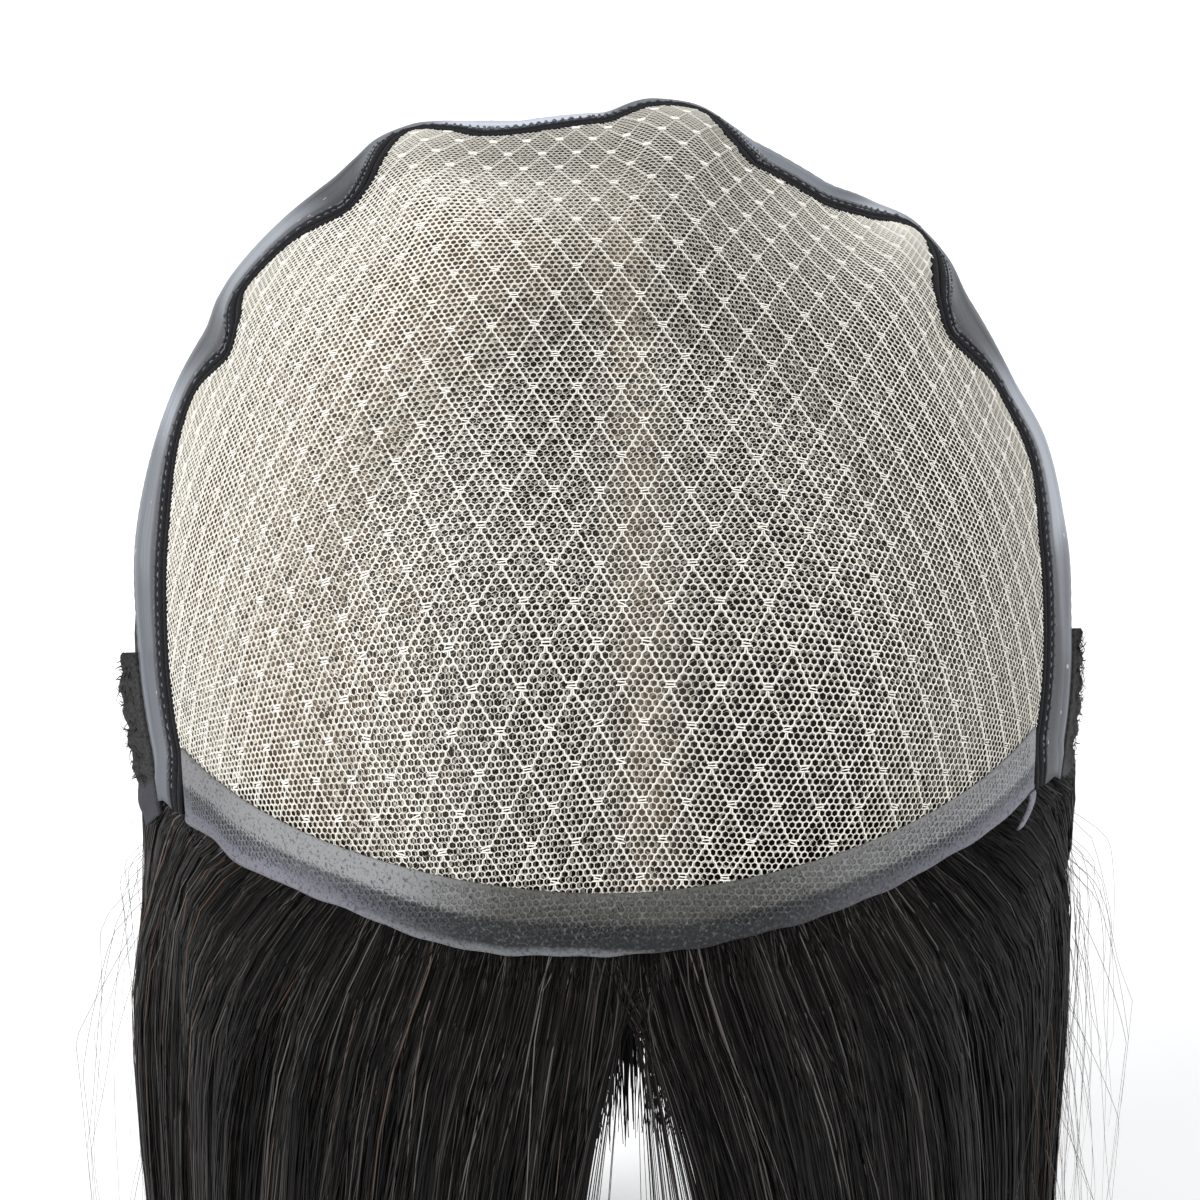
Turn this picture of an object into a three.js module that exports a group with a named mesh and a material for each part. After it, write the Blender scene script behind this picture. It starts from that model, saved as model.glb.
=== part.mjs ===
// Lace top wig turned inside out: lace dome, front band, corded tape, back cap and hanging hair.
import * as THREE from 'three';
import { mergeVertices } from 'three/addons/utils/BufferGeometryUtils.js';

// Head form that the cap is shaped on, mm
const HALF_WIDTH = 80;
const HALF_LENGTH = 98.5;
const CROWN_RISE = 85;
const NAPE_DROP = 130;

// The dome is laid out from the middle of the lace, which leans forward by this angle from level
const LACE_TILT = THREE.MathUtils.degToRad(40);
const MIDDLE = new THREE.Vector3(0, -Math.cos(LACE_TILT), Math.sin(LACE_TILT));
const RIGHT = new THREE.Vector3(1, 0, 0);
const FRONT = new THREE.Vector3(0, -Math.sin(LACE_TILT), -Math.cos(LACE_TILT));

// Layers, measured inwards from the face of the lace
const GAP = 0.35;
const LACE_THICKNESS = 1;
const BAND_THICKNESS = 1.2;
const TAPE_THICKNESS = 1;
const CAP_DEPTH = 1.6;
const CAP_THICKNESS = 1.1;
const HAIR_DEPTH = 6.4;
const HAIR_THICKNESS = 2.2;

// The origin is where the head meets the inside of the crown
const CENTRE_Z = HAIR_DEPTH + HAIR_THICKNESS - CROWN_RISE;

// Cords along the lace edge and the tape outside them
const SEAM_CORD_RADIUS = 0.75;
const STITCHED_CORD_RADIUS = 0.85;
const SEAM_CORD_OUT = GAP + SEAM_CORD_RADIUS;
const STITCHED_CORD_OUT = SEAM_CORD_OUT + SEAM_CORD_RADIUS + GAP + STITCHED_CORD_RADIUS;
const TAPE_OUT = STITCHED_CORD_OUT + STITCHED_CORD_RADIUS + GAP;
const LACE_RINGS = [0.16, 0.33, 0.5, 0.65, 0.78, 0.9, 1];
const RIM_STEPS = 72;
const END_STEPS = 4;

// Rim of the lace from the right tape end over the back to the left one, angles in degrees:
// clock is the angle round the lace's middle from the front, edge and tape are how far from
// the middle the lace and the tape end, lift is how far a crest stands out or a dip sinks, mm
const SCALLOPS = [
  { clock: 70.5, edge: 60.2, tape: 75.5, lift: 0 },
  { clock: 77, edge: 56.4, tape: 69.5, lift: 0 },
  { clock: 89, edge: 56.8, tape: 69, lift: 0 },
  { clock: 99, edge: 58.4, tape: 75, lift: 0 },
  { clock: 108.5, edge: 61.8, tape: 78, lift: 0.4 },
  { clock: 116.5, edge: 63.2, tape: 75.5, lift: -0.6 },
  { clock: 126.5, edge: 57.6, tape: 76, lift: -0.2 },
  { clock: 131.5, edge: 60.4, tape: 80, lift: 1 },
  { clock: 136, edge: 73.6, tape: 84, lift: 1.2 },
  { clock: 142.5, edge: 67.4, tape: 80, lift: -1.2 },
  { clock: 149, edge: 64.2, tape: 73.5, lift: -2.4 },
  { clock: 158.5, edge: 64.4, tape: 75, lift: -2.2 },
  { clock: 161.5, edge: 68, tape: 78.5, lift: -1.6 },
  { clock: 167, edge: 76.4, tape: 84, lift: 0 },
  { clock: 171.5, edge: 74.8, tape: 84, lift: -0.4 },
  { clock: 178.5, edge: 70.6, tape: 76, lift: -2.8 },
  { clock: 188, edge: 68.6, tape: 74.5, lift: -2.6 },
  { clock: 194, edge: 69.2, tape: 78.5, lift: -1.6 },
  { clock: 198.5, edge: 73.2, tape: 82, lift: 0.2 },
  { clock: 202, edge: 75.8, tape: 86, lift: 1.6 },
  { clock: 206, edge: 68.8, tape: 84, lift: 2 },
  { clock: 209.5, edge: 64.2, tape: 82.5, lift: 1.2 },
  { clock: 213.3, edge: 63, tape: 81.5, lift: 0.6 },
  { clock: 221, edge: 66.8, tape: 82, lift: 1 },
  { clock: 228.5, edge: 68, tape: 83, lift: 1.2 },
  { clock: 231.7, edge: 63.6, tape: 81.5, lift: 1 },
  { clock: 235.7, edge: 62.6, tape: 79.5, lift: 0 },
  { clock: 242, edge: 66.6, tape: 80.5, lift: 0.2 },
  { clock: 257, edge: 61.4, tape: 77, lift: 0 },
  { clock: 270, edge: 58.8, tape: 69.5, lift: 0 },
  { clock: 281.5, edge: 58.4, tape: 68, lift: 0 },
  { clock: 289.3, edge: 63.4, tape: 73, lift: 0 },
];
const RIGHT_CORNER = 78;
const LEFT_CORNER = 281.6;

// A crest or dip of the rim fades out between these angles from the middle of the lace
const LIFT_FROM = 36;
const LIFT_TO = 62;
const LIFT_FADE_FROM = 88;
const LIFT_FADE_TO = 118;

// Front hairline: heights above the widest level at the middle, and the drop towards the ends
const LACE_FRONT = { height: 26, drop: 8, power: 2.6, lean: 0.008 };
const BAND_FRONT = { height: 17.2, drop: 11, power: 3.3, lean: 0.02 };
const FRONT_HALF = 66.5;
const BAND_ENDS = { left: -66.3, right: 64.4 };
const BAND_STEPS = 40;
const TAIL = { from: 61.5, to: 64, length: 3 };

// Lower hem of the back cap, a plane that falls from the ears to the nape
const HEM_AT_EARS = -12;
const HEM_EARS_Y = -40;
const HEM_FALL = 0.55;
const CAP_STEPS = 48;
const CAP_ROWS = [0, 0.05, 0.11, 0.23, 0.37, 0.51, 0.65, 0.78, 0.9, 1];

// Frayed cloth at the tape ends
const EAR_TABS = {
  left: { from: 271.2, to: 288.2, flare: 2, teeth: [0.8, 3.6, 6.4, 4.8, 5, 5.6, 5.2, 4.6, 4.8] },
  right: { from: 88.5, to: 73, flare: 1, teeth: [0.8, 1.4, 2, 3, 4.6, 5.6, 5.8, 5.4, 4.8] },
};
const EAR_TAB_THICKNESS = 1;

// Hair: level of the rim round the head, from the front, and how far it swells out below that
const HAIRLINE = [
  { around: 0, level: 15.5, swell: 10 },
  { around: 30, level: 13.5, swell: 10 },
  { around: 46, level: 7, swell: 10.5 },
  { around: 56, level: -11, swell: 11 },
  { around: 65, level: -15, swell: 12.5 },
  { around: 80, level: -28, swell: 13.5 },
  { around: 95, level: -42, swell: 14 },
  { around: 113, level: -57, swell: 13.5 },
  { around: 135, level: -71, swell: 12.5 },
  { around: 180, level: -82, swell: 11 },
];
const HAIR_HEM = -256;
const HAIR_SWELL_OVER = 20;
const HAIR_FLARE = 10;
const NAPE_FILL_OVER = 110;
const LOCK_COLUMNS = 3;
const LOCK_DEPTH = 1.5;
const LOCK_TIP = 9;
const CROWN_START = 3;
const CROWN_ROWS = [0, 0.2, 0.4, 0.6, 0.8, 1];
const CURTAIN_ROWS = [0.04, 0.08, 0.165, 0.4, 0.7, 1];
const PARTING = { top: 11, half: 15, over: 85 };
const HAIR_PANELS = {
  left: { from: 0, to: -113, columns: 18, opening: 1 },
  right: { from: 0, to: 113, columns: 18, opening: 1.6 },
  back: { from: 113.6, to: 246.4, columns: 21, opening: 0 },
};

function smoothstep(from, to, value) {
  return THREE.MathUtils.smoothstep(value, from, to);
}

// Smooth value of one column of a table, with no overshoot between its rows
function along(table, at, key, value) {
  const last = table.length - 1;
  let k = table.findIndex((row) => row[at] > value) - 1;
  if (k === -2) k = last - 1;
  k = Math.max(0, Math.min(last - 1, k));
  const steepness = (i) => {
    const next = Math.max(0, Math.min(last - 1, i));
    return (table[next + 1][key] - table[next][key]) / (table[next + 1][at] - table[next][at]);
  };
  const slope = (i) => {
    const before = steepness(i - 1);
    const after = steepness(i);
    return before * after <= 0 ? 0 : (2 * before * after) / (before + after);
  };
  const width = table[k + 1][at] - table[k][at];
  const t = THREE.MathUtils.clamp((value - table[k][at]) / width, 0, 1);
  const a = table[k][key];
  const b = table[k + 1][key];
  const rise = t * t * (3 - 2 * t);
  return a + (b - a) * rise + width * t * (1 - t) * (slope(k) * (1 - t) - slope(k + 1) * t);
}

function rimValue(key, clock) {
  return along(SCALLOPS, 'clock', key, clock);
}

// How far the crests and dips of the rim move the dome out or in
function lift(polar, clock) {
  const turn = THREE.MathUtils.euclideanModulo(clock, 360);
  const rise = smoothstep(LIFT_FROM, LIFT_TO, polar) - smoothstep(LIFT_FADE_FROM, LIFT_FADE_TO, polar);
  return rimValue('lift', turn) * rise;
}

// Direction from the middle of the head, by angle from the lace's middle and clock angle
function direction(polar, clock) {
  const p = THREE.MathUtils.degToRad(polar);
  const c = THREE.MathUtils.degToRad(clock);
  const side = RIGHT.clone().multiplyScalar(Math.sin(c)).addScaledVector(FRONT, Math.cos(c));
  return MIDDLE.clone().multiplyScalar(Math.cos(p)).addScaledVector(side, Math.sin(p));
}

function domePoint(polar, clock, depth) {
  const u = direction(polar, clock);
  const swell = lift(polar, clock) - depth;
  const rise = u.z > 0 ? CROWN_RISE : NAPE_DROP;
  return new THREE.Vector3(
    u.x * (HALF_WIDTH + swell),
    u.y * (HALF_LENGTH + swell),
    u.z * (rise + swell) + CENTRE_Z,
  );
}

// Height of a front edge above the widest level, by distance from the middle line
function frontHeight(edge, x) {
  return edge.height + edge.lean * x - edge.drop * Math.abs(x / FRONT_HALF) ** edge.power;
}

// Angle from the lace's middle at which a falling measure reaches zero
function solvePolar(measure, low, high) {
  let above = low;
  let below = high;
  for (let i = 0; i < 40; i += 1) {
    const half = (above + below) / 2;
    if (measure(half) > 0) above = half;
    else below = half;
  }
  return above;
}

function lacePolar(clock) {
  if (clock >= RIGHT_CORNER && clock <= LEFT_CORNER) return rimValue('edge', clock);
  return solvePolar((polar) => {
    const p = domePoint(polar, clock, 0);
    return p.z - CENTRE_Z - frontHeight(LACE_FRONT, p.x);
  }, 4, 80);
}

// Clock angles at equal steps of length along an edge
function equalSteps(from, to, steps, polarAt) {
  const fine = 400;
  const clocks = [];
  const lengths = [];
  let before = null;
  for (let i = 0; i <= fine; i += 1) {
    const clock = from + ((to - from) * i) / fine;
    const point = domePoint(polarAt(clock), clock, 0);
    clocks.push(clock);
    lengths.push(before ? lengths[i - 1] + point.distanceTo(before) : 0);
    before = point;
  }
  const result = [];
  for (let k = 0; k <= steps; k += 1) {
    const want = (lengths[fine] * k) / steps;
    const i = Math.max(1, lengths.findIndex((length) => length >= want - 1e-9));
    const share = (want - lengths[i - 1]) / (lengths[i] - lengths[i - 1]);
    result.push(clocks[i - 1] + (clocks[i] - clocks[i - 1]) * share);
  }
  return result;
}

// Clock angles of the lace edge at the back, and of the cords and tape that run on to the front
function backClocks() {
  return equalSteps(RIGHT_CORNER, LEFT_CORNER, RIM_STEPS, lacePolar);
}

function tapeClocks() {
  const edge = (clock) => rimValue('edge', clock);
  const first = equalSteps(SCALLOPS[0].clock, RIGHT_CORNER, END_STEPS, edge);
  const last = equalSteps(LEFT_CORNER, SCALLOPS[SCALLOPS.length - 1].clock, END_STEPS, edge);
  return [...first.slice(0, -1), ...backClocks(), ...last.slice(1)];
}

// Point, outward direction and direction away from the lace at one place of its edge
function rimFrame(clock) {
  const step = 0.3;
  const at = (turn) => domePoint(rimValue('edge', turn), turn, 0);
  const point = at(clock);
  const tangent = at(clock + step).sub(at(clock - step)).normalize();
  const polar = rimValue('edge', clock);
  const inward = domePoint(polar - step, clock, 0).sub(point);
  const normal = new THREE.Vector3().crossVectors(inward, tangent).normalize();
  if (normal.dot(direction(polar, clock)) < 0) normal.negate();
  const out = new THREE.Vector3().crossVectors(tangent, normal);
  if (out.dot(inward) > 0) out.negate();
  return { point, normal, out };
}

// Angles of a point of space, as seen from the middle of the head
function anglesOf(point) {
  const z = point.z - CENTRE_Z;
  const u = new THREE.Vector3(
    point.x / HALF_WIDTH,
    point.y / HALF_LENGTH,
    z / (z > 0 ? CROWN_RISE : NAPE_DROP),
  ).normalize();
  const polar = THREE.MathUtils.radToDeg(Math.acos(u.dot(MIDDLE)));
  const clock = THREE.MathUtils.radToDeg(Math.atan2(u.dot(RIGHT), u.dot(FRONT)));
  return { polar, clock: THREE.MathUtils.euclideanModulo(clock, 360) };
}

// Closed solid between an outer and an inner grid of points with the same rows and columns
function shell(outer, inner) {
  const rows = outer.length;
  const columns = outer[0].length;
  const points = [...outer.flat(), ...inner.flat()];
  const at = (side, i, j) => (side * rows + i) * columns + j;
  const faces = [];
  const quad = (a, b, c, d) => faces.push(a, b, c, a, c, d);
  for (let i = 0; i + 1 < rows; i += 1) {
    for (let j = 0; j + 1 < columns; j += 1) {
      quad(at(0, i, j), at(0, i + 1, j), at(0, i + 1, j + 1), at(0, i, j + 1));
      quad(at(1, i, j), at(1, i, j + 1), at(1, i + 1, j + 1), at(1, i + 1, j));
    }
    quad(at(0, i, 0), at(1, i, 0), at(1, i + 1, 0), at(0, i + 1, 0));
    const end = columns - 1;
    quad(at(0, i, end), at(0, i + 1, end), at(1, i + 1, end), at(1, i, end));
  }
  for (let j = 0; j + 1 < columns; j += 1) {
    quad(at(0, 0, j), at(0, 0, j + 1), at(1, 0, j + 1), at(1, 0, j));
    const end = rows - 1;
    quad(at(0, end, j), at(1, end, j), at(1, end, j + 1), at(0, end, j + 1));
  }
  return solid(points, faces);
}

// Closed dome between two lists of rings round a pole
function dome(outerPole, outerRings, innerPole, innerRings) {
  const sectors = outerRings[0].length;
  const rings = outerRings.length;
  const points = [outerPole, ...outerRings.flat(), innerPole, ...innerRings.flat()];
  const pole = (side) => side * (1 + rings * sectors);
  const at = (side, k, i) => pole(side) + 1 + k * sectors + (i % sectors);
  const faces = [];
  const quad = (a, b, c, d) => faces.push(a, b, c, a, c, d);
  for (let i = 0; i < sectors; i += 1) {
    faces.push(pole(0), at(0, 0, i), at(0, 0, i + 1));
    faces.push(pole(1), at(1, 0, i + 1), at(1, 0, i));
    for (let k = 0; k + 1 < rings; k += 1) {
      quad(at(0, k, i), at(0, k + 1, i), at(0, k + 1, i + 1), at(0, k, i + 1));
      quad(at(1, k, i), at(1, k, i + 1), at(1, k + 1, i + 1), at(1, k + 1, i));
    }
    const end = rings - 1;
    quad(at(0, end, i), at(1, end, i), at(1, end, i + 1), at(0, end, i + 1));
  }
  return solid(points, faces);
}

// Geometry from points and triangles, turned to face out
function solid(points, faces) {
  let volume = 0;
  for (let f = 0; f < faces.length; f += 3) {
    const [a, b, c] = [points[faces[f]], points[faces[f + 1]], points[faces[f + 2]]];
    volume += a.dot(new THREE.Vector3().crossVectors(b, c));
  }
  const geometry = new THREE.BufferGeometry().setFromPoints(points);
  geometry.setIndex(volume > 0 ? faces : faces.slice().reverse());
  const welded = mergeVertices(geometry, 1e-5);
  welded.computeVertexNormals();
  return welded;
}

function laceTop() {
  const back = backClocks();
  const front = equalSteps(LEFT_CORNER, RIGHT_CORNER + 360, 38, (clock) => lacePolar(clock % 360));
  const clocks = [...back.slice(0, -1), ...front.slice(0, -1)].map((clock) => clock % 360);
  const rings = (depth) =>
    LACE_RINGS.map((share) => clocks.map((clock) => domePoint(lacePolar(clock) * share, clock, depth)));
  const pole = (depth) => domePoint(0, 0, depth);
  return dome(pole(0), rings(0), pole(LACE_THICKNESS), rings(LACE_THICKNESS));
}

// Point of the forehead side of the dome, by distance from the middle line and height
function facePoint(x, height, depth) {
  const across = x / HALF_WIDTH;
  const rise = height > 0 ? CROWN_RISE : NAPE_DROP;
  const up = height / rise;
  const forward = -Math.sqrt(1 - across * across - up * up);
  return new THREE.Vector3(
    across * (HALF_WIDTH - depth),
    forward * (HALF_LENGTH - depth),
    up * (rise - depth) + CENTRE_Z,
  );
}

function frontBand() {
  const outer = [];
  const inner = [];
  for (let i = 0; i <= BAND_STEPS; i += 1) {
    const x = BAND_ENDS.left + ((BAND_ENDS.right - BAND_ENDS.left) * i) / BAND_STEPS;
    const tail = x > TAIL.from && x < TAIL.to ? TAIL.length : 0;
    const top = frontHeight(LACE_FRONT, x) - GAP;
    const low = frontHeight(BAND_FRONT, x) - tail;
    const heights = [0, 0.33, 0.67, 1].map((share) => top + (low - top) * share);
    outer.push(heights.map((height) => facePoint(x, height, -0.2)));
    inner.push(heights.map((height) => facePoint(x, height, BAND_THICKNESS - 0.2)));
  }
  return shell(outer, inner);
}

// Six-sided cord that follows the lace edge at a distance outside it
function edgeCord(distance, radius) {
  const ring = (clock, degrees) => {
    const { point, normal, out } = rimFrame(clock);
    const { polar, clock: turn } = anglesOf(point.clone().addScaledVector(out, distance));
    const centre = domePoint(polar, turn, LACE_THICKNESS / 2);
    return degrees.map((angle) => {
      const a = THREE.MathUtils.degToRad(angle);
      const spoke = out.clone().multiplyScalar(Math.cos(a)).addScaledVector(normal, Math.sin(a));
      return centre.clone().addScaledVector(spoke, radius);
    });
  };
  const clocks = tapeClocks();
  const upper = clocks.map((clock) => ring(clock, [150, 90, 30]));
  const lower = clocks.map((clock) => ring(clock, [210, 270, 330]));
  return shell(upper, lower);
}

// Smooth tape between the outer cord and its own outer edge
function gripTape() {
  const clocks = tapeClocks();
  const row = (clock, depth) => {
    const { point, out } = rimFrame(clock);
    const near = anglesOf(point.clone().addScaledVector(out, TAPE_OUT));
    const far = rimValue('tape', clock);
    return [0, 0.3, 0.65, 1].map((share) => {
      const polar = near.polar + (far - near.polar) * share;
      const turn = near.clock + (clock - near.clock) * share;
      return domePoint(polar, turn, depth);
    });
  };
  const outer = clocks.map((clock) => row(clock, 0));
  const inner = clocks.map((clock) => row(clock, TAPE_THICKNESS));
  return shell(outer, inner);
}

function hemPolar(clock, depth) {
  return solvePolar((polar) => {
    const p = domePoint(polar, clock, depth);
    return p.z - CENTRE_Z - HEM_AT_EARS + HEM_FALL * (p.y - HEM_EARS_Y);
  }, 60, 179);
}

// Plain back of the cap, tucked under the tape and hemmed from ear to ear
function backCap() {
  const from = SCALLOPS[0].clock + 1;
  const to = SCALLOPS[SCALLOPS.length - 1].clock - 1;
  const row = (clock, depth) => {
    const top = rimValue('tape', clock) - 2;
    const hem = hemPolar(clock, CAP_DEPTH);
    return CAP_ROWS.map((share) => domePoint(top + (hem - top) * share, clock, depth));
  };
  const clocks = Array.from({ length: CAP_STEPS + 1 }, (_, i) => from + ((to - from) * i) / CAP_STEPS);
  const outer = clocks.map((clock) => row(clock, CAP_DEPTH));
  const inner = clocks.map((clock) => row(clock, CAP_DEPTH + CAP_THICKNESS));
  return shell(outer, inner);
}

// Frayed tab outside the tape: each tooth is how far one step of its edge reaches, mm
function earTab({ from, to, flare, teeth }) {
  const degrees = 180 / Math.PI / HALF_WIDTH;
  const start = (clock) => rimValue('tape', clock) + GAP * degrees;
  const row = (i, depth) => {
    const clock = from + ((to - from) * i) / (teeth.length - 1);
    const reach = teeth[i] * degrees;
    return [0, 0.5, 1].map((share) => domePoint(start(clock) + reach * share, clock, depth - flare * share));
  };
  const outer = teeth.map((_, i) => row(i, -0.4));
  const inner = teeth.map((_, i) => row(i, EAR_TAB_THICKNESS - 0.4));
  return shell(outer, inner);
}

// Half width of the parting that opens below the front of the band
function partingHalf(height) {
  const below = Math.max(0, PARTING.top - height);
  return PARTING.half * (1 - Math.exp(-below / PARTING.over));
}

// Height and narrowing of the hair layer under the cap, by angle from the crown
function crownStep(angle) {
  const a = THREE.MathUtils.degToRad(angle);
  const rise = (angle < 90 ? CROWN_RISE : NAPE_DROP) - HAIR_DEPTH;
  return { height: rise * Math.cos(a), narrow: Math.sin(a), out: 0 };
}

// Angle from the crown at which the hair layer reaches a height
function crownAngle(height) {
  const rise = (height > 0 ? CROWN_RISE : NAPE_DROP) - HAIR_DEPTH;
  return THREE.MathUtils.radToDeg(Math.acos(height / rise));
}

// One column of a hair panel, from the crown under the cap to the tip that hangs free
function hairColumn(around, groove) {
  const turn = Math.abs(around > 180 ? around - 360 : around);
  const level = along(HAIRLINE, 'around', 'level', turn);
  const full = along(HAIRLINE, 'around', 'swell', turn);
  const end = crownAngle(level);
  const crown = CROWN_ROWS.map((share) => crownStep(CROWN_START + (end - CROWN_START) * share));
  const tip = HAIR_HEM + groove * LOCK_TIP;
  const rim = crownStep(end).narrow;
  const curtain = CURTAIN_ROWS.map((share) => {
    const height = level + (tip - level) * share;
    const below = level - height;
    const swell = full * smoothstep(0, HAIR_SWELL_OVER, below);
    const flare = HAIR_FLARE * smoothstep(0, 1, share) * share;
    const inset = groove * LOCK_DEPTH * smoothstep(0, 60, below);
    const narrow = rim + (1 - rim) * smoothstep(0, NAPE_FILL_OVER, below);
    return { height, narrow, out: swell + flare - inset };
  });
  return [...crown, ...curtain];
}

function hairPoint(around, { height, narrow, out }) {
  const a = THREE.MathUtils.degToRad(around);
  return new THREE.Vector3(
    Math.sin(a) * ((HALF_WIDTH - HAIR_DEPTH) * narrow + out),
    -Math.cos(a) * ((HALF_LENGTH - HAIR_DEPTH) * narrow + out),
    height + CENTRE_Z,
  );
}

// The same point moved in through the thickness of the hair
function hairInside(point, height) {
  const axis = new THREE.Vector3(0, 0, CENTRE_Z + Math.min(0, height));
  const inwards = axis.sub(point).normalize();
  return point.clone().addScaledVector(inwards, HAIR_THICKNESS);
}

// Hair panel: a wall in locks, from the crown under the cap down to the tips
function hairPanel({ from, to, columns, opening }) {
  const outer = [];
  const inner = [];
  for (let i = 0; i <= columns; i += 1) {
    const share = i / columns;
    const groove = i % LOCK_COLUMNS === 0 ? 1 : 0;
    const steps = hairColumn(from + (to - from) * share, groove);
    const points = steps.map((step) => {
      const open = Math.asin((GAP + partingHalf(step.height) * opening) / HALF_WIDTH);
      const start = from === 0 ? Math.sign(to) * THREE.MathUtils.radToDeg(open) : from;
      return hairPoint(start + (to - start) * share, step);
    });
    outer.push(points);
    inner.push(points.map((point, j) => hairInside(point, steps[j].height)));
  }
  return shell(outer, inner);
}

function part(name, geometry, color, roughness) {
  const material = new THREE.MeshStandardMaterial({ name: `${name}_finish`, color, roughness });
  const mesh = new THREE.Mesh(geometry, material);
  mesh.name = name;
  return mesh;
}

const wig = new THREE.Group();
wig.name = 'silk_top_wig';
wig.add(part('lace_top', laceTop(), 0xe1dccd, 0.8));
wig.add(part('front_band', frontBand(), 0x5c5e62, 0.6));
wig.add(part('seam_cord', edgeCord(SEAM_CORD_OUT, SEAM_CORD_RADIUS), 0x1a1a1d, 0.7));
wig.add(part('stitched_cord', edgeCord(STITCHED_CORD_OUT, STITCHED_CORD_RADIUS), 0x1d1d20, 0.6));
wig.add(part('grip_tape', gripTape(), 0x6e707a, 0.45));
wig.add(part('ear_tab_left', earTab(EAR_TABS.left), 0x1c1b1d, 0.9));
wig.add(part('ear_tab_right', earTab(EAR_TABS.right), 0x1c1b1d, 0.9));
wig.add(part('back_cap', backCap(), 0x1f1e20, 0.9));
wig.add(part('hair_left', hairPanel(HAIR_PANELS.left), 0x1e1a19, 0.5));
wig.add(part('hair_right', hairPanel(HAIR_PANELS.right), 0x1e1a19, 0.5));
wig.add(part('hair_back', hairPanel(HAIR_PANELS.back), 0x1e1a19, 0.5));

export default wig;
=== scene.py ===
import math

import bpy
import numpy as np
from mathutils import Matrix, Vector


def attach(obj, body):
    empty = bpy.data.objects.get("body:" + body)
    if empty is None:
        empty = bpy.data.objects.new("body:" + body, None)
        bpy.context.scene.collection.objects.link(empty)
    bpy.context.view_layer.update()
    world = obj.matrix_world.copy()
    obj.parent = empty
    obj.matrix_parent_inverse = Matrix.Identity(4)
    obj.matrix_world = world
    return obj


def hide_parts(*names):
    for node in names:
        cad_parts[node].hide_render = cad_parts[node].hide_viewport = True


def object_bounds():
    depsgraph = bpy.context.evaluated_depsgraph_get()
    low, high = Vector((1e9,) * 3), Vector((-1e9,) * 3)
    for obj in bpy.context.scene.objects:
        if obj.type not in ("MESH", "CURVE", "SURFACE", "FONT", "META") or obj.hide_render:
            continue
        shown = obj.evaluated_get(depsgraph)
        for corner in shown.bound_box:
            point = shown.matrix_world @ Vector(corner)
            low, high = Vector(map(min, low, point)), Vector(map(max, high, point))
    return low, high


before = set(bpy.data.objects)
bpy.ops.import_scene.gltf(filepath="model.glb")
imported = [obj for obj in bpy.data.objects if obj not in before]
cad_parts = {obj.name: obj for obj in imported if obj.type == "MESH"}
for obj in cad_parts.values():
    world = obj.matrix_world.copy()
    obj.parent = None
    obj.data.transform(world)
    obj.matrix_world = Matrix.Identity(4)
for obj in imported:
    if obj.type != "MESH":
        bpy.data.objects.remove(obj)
CAD_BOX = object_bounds()
RNG = np.random.default_rng(11)
MM = 0.001

# Head form and layers, mm, as in the solids
HALF_WIDTH, HALF_LENGTH, CROWN_RISE, NAPE_DROP = 80.0, 98.5, 85.0, 130.0
AXES = np.array([HALF_WIDTH, HALF_LENGTH, CROWN_RISE])
LACE_TILT = math.radians(40)
MIDDLE = np.array([0, -math.cos(LACE_TILT), math.sin(LACE_TILT)])
RIGHT = np.array([1.0, 0, 0])
FRONT = np.array([0, -math.sin(LACE_TILT), -math.cos(LACE_TILT)])
GAP = 0.35
LACE_THICKNESS, BAND_THICKNESS, TAPE_THICKNESS = 1.0, 1.2, 1.0
CAP_DEPTH, CAP_THICKNESS = 1.6, 1.1
HAIR_DEPTH, HAIR_THICKNESS = 6.4, 2.2
CENTRE_Z = HAIR_DEPTH + HAIR_THICKNESS - CROWN_RISE
HEAD_MIDDLE = np.array([0, 0, CENTRE_Z])
SEAM_RADIUS, STITCHED_RADIUS = 0.75, 0.85
SEAM_OUT = GAP + SEAM_RADIUS
STITCHED_OUT = SEAM_OUT + SEAM_RADIUS + GAP + STITCHED_RADIUS
TAPE_OUT = STITCHED_OUT + STITCHED_RADIUS + GAP
STITCHES, CORD_FLAT, CORD_STEPS, CORD_SIDES = 230, 0.65, 620, 10
# Cords: node of the solids, distance outside the lace edge, radius
CORDS = {
    "seam_cord_black": ("seam_cord", SEAM_OUT, SEAM_RADIUS),
    "stitched_cord_black": ("stitched_cord", STITCHED_OUT, STITCHED_RADIUS),
}
# Rows of stitches: distance outside the lace edge, depth, half length as a share of the pitch, thickness
STITCH_ROWS = {
    "cord_stitches": (STITCHED_OUT + 0.4, LACE_THICKNESS / 2 - STITCHED_RADIUS * CORD_FLAT, 0.36, 0.17),
    "tape_stitches": (TAPE_OUT + 0.9, -0.12, 0.3, 0.2),
}
# Points along and across the walls of cloth
BAND_GRID, STRAP_GRID, TAPE_GRID, CAP_GRID, TAB_GRID = (261, 15), (9, 4), (420, 15), (97, 45), (65, 8)
TAPE_CUT = 2.4
# Painted lights and shades along the tape, in place of its satin reflections: clock angles between which
# they lie, and gain
TAPE_BASE = 0.21
TAPE_SHEEN = (
    (66, 86, -0.4), (99, 117, 1.1), (119.5, 131, -0.65), (137.5, 142, 1.5),
    (148, 158, 0.15), (159, 163, 1), (177, 199, 2.1), (207, 217.5, -0.75),
    (220, 229.5, 0.8), (232, 240, -0.5), (242, 247, 0.85), (262, 292, -0.2),
)
# Width of the lane of painted shade beside the cord, as a share of the tape: less at the top, more at the
# right end
LANE_WIDTH, LANE_TOP_LESS, LANE_END_MORE = 0.33, 0.29, 0.32

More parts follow.
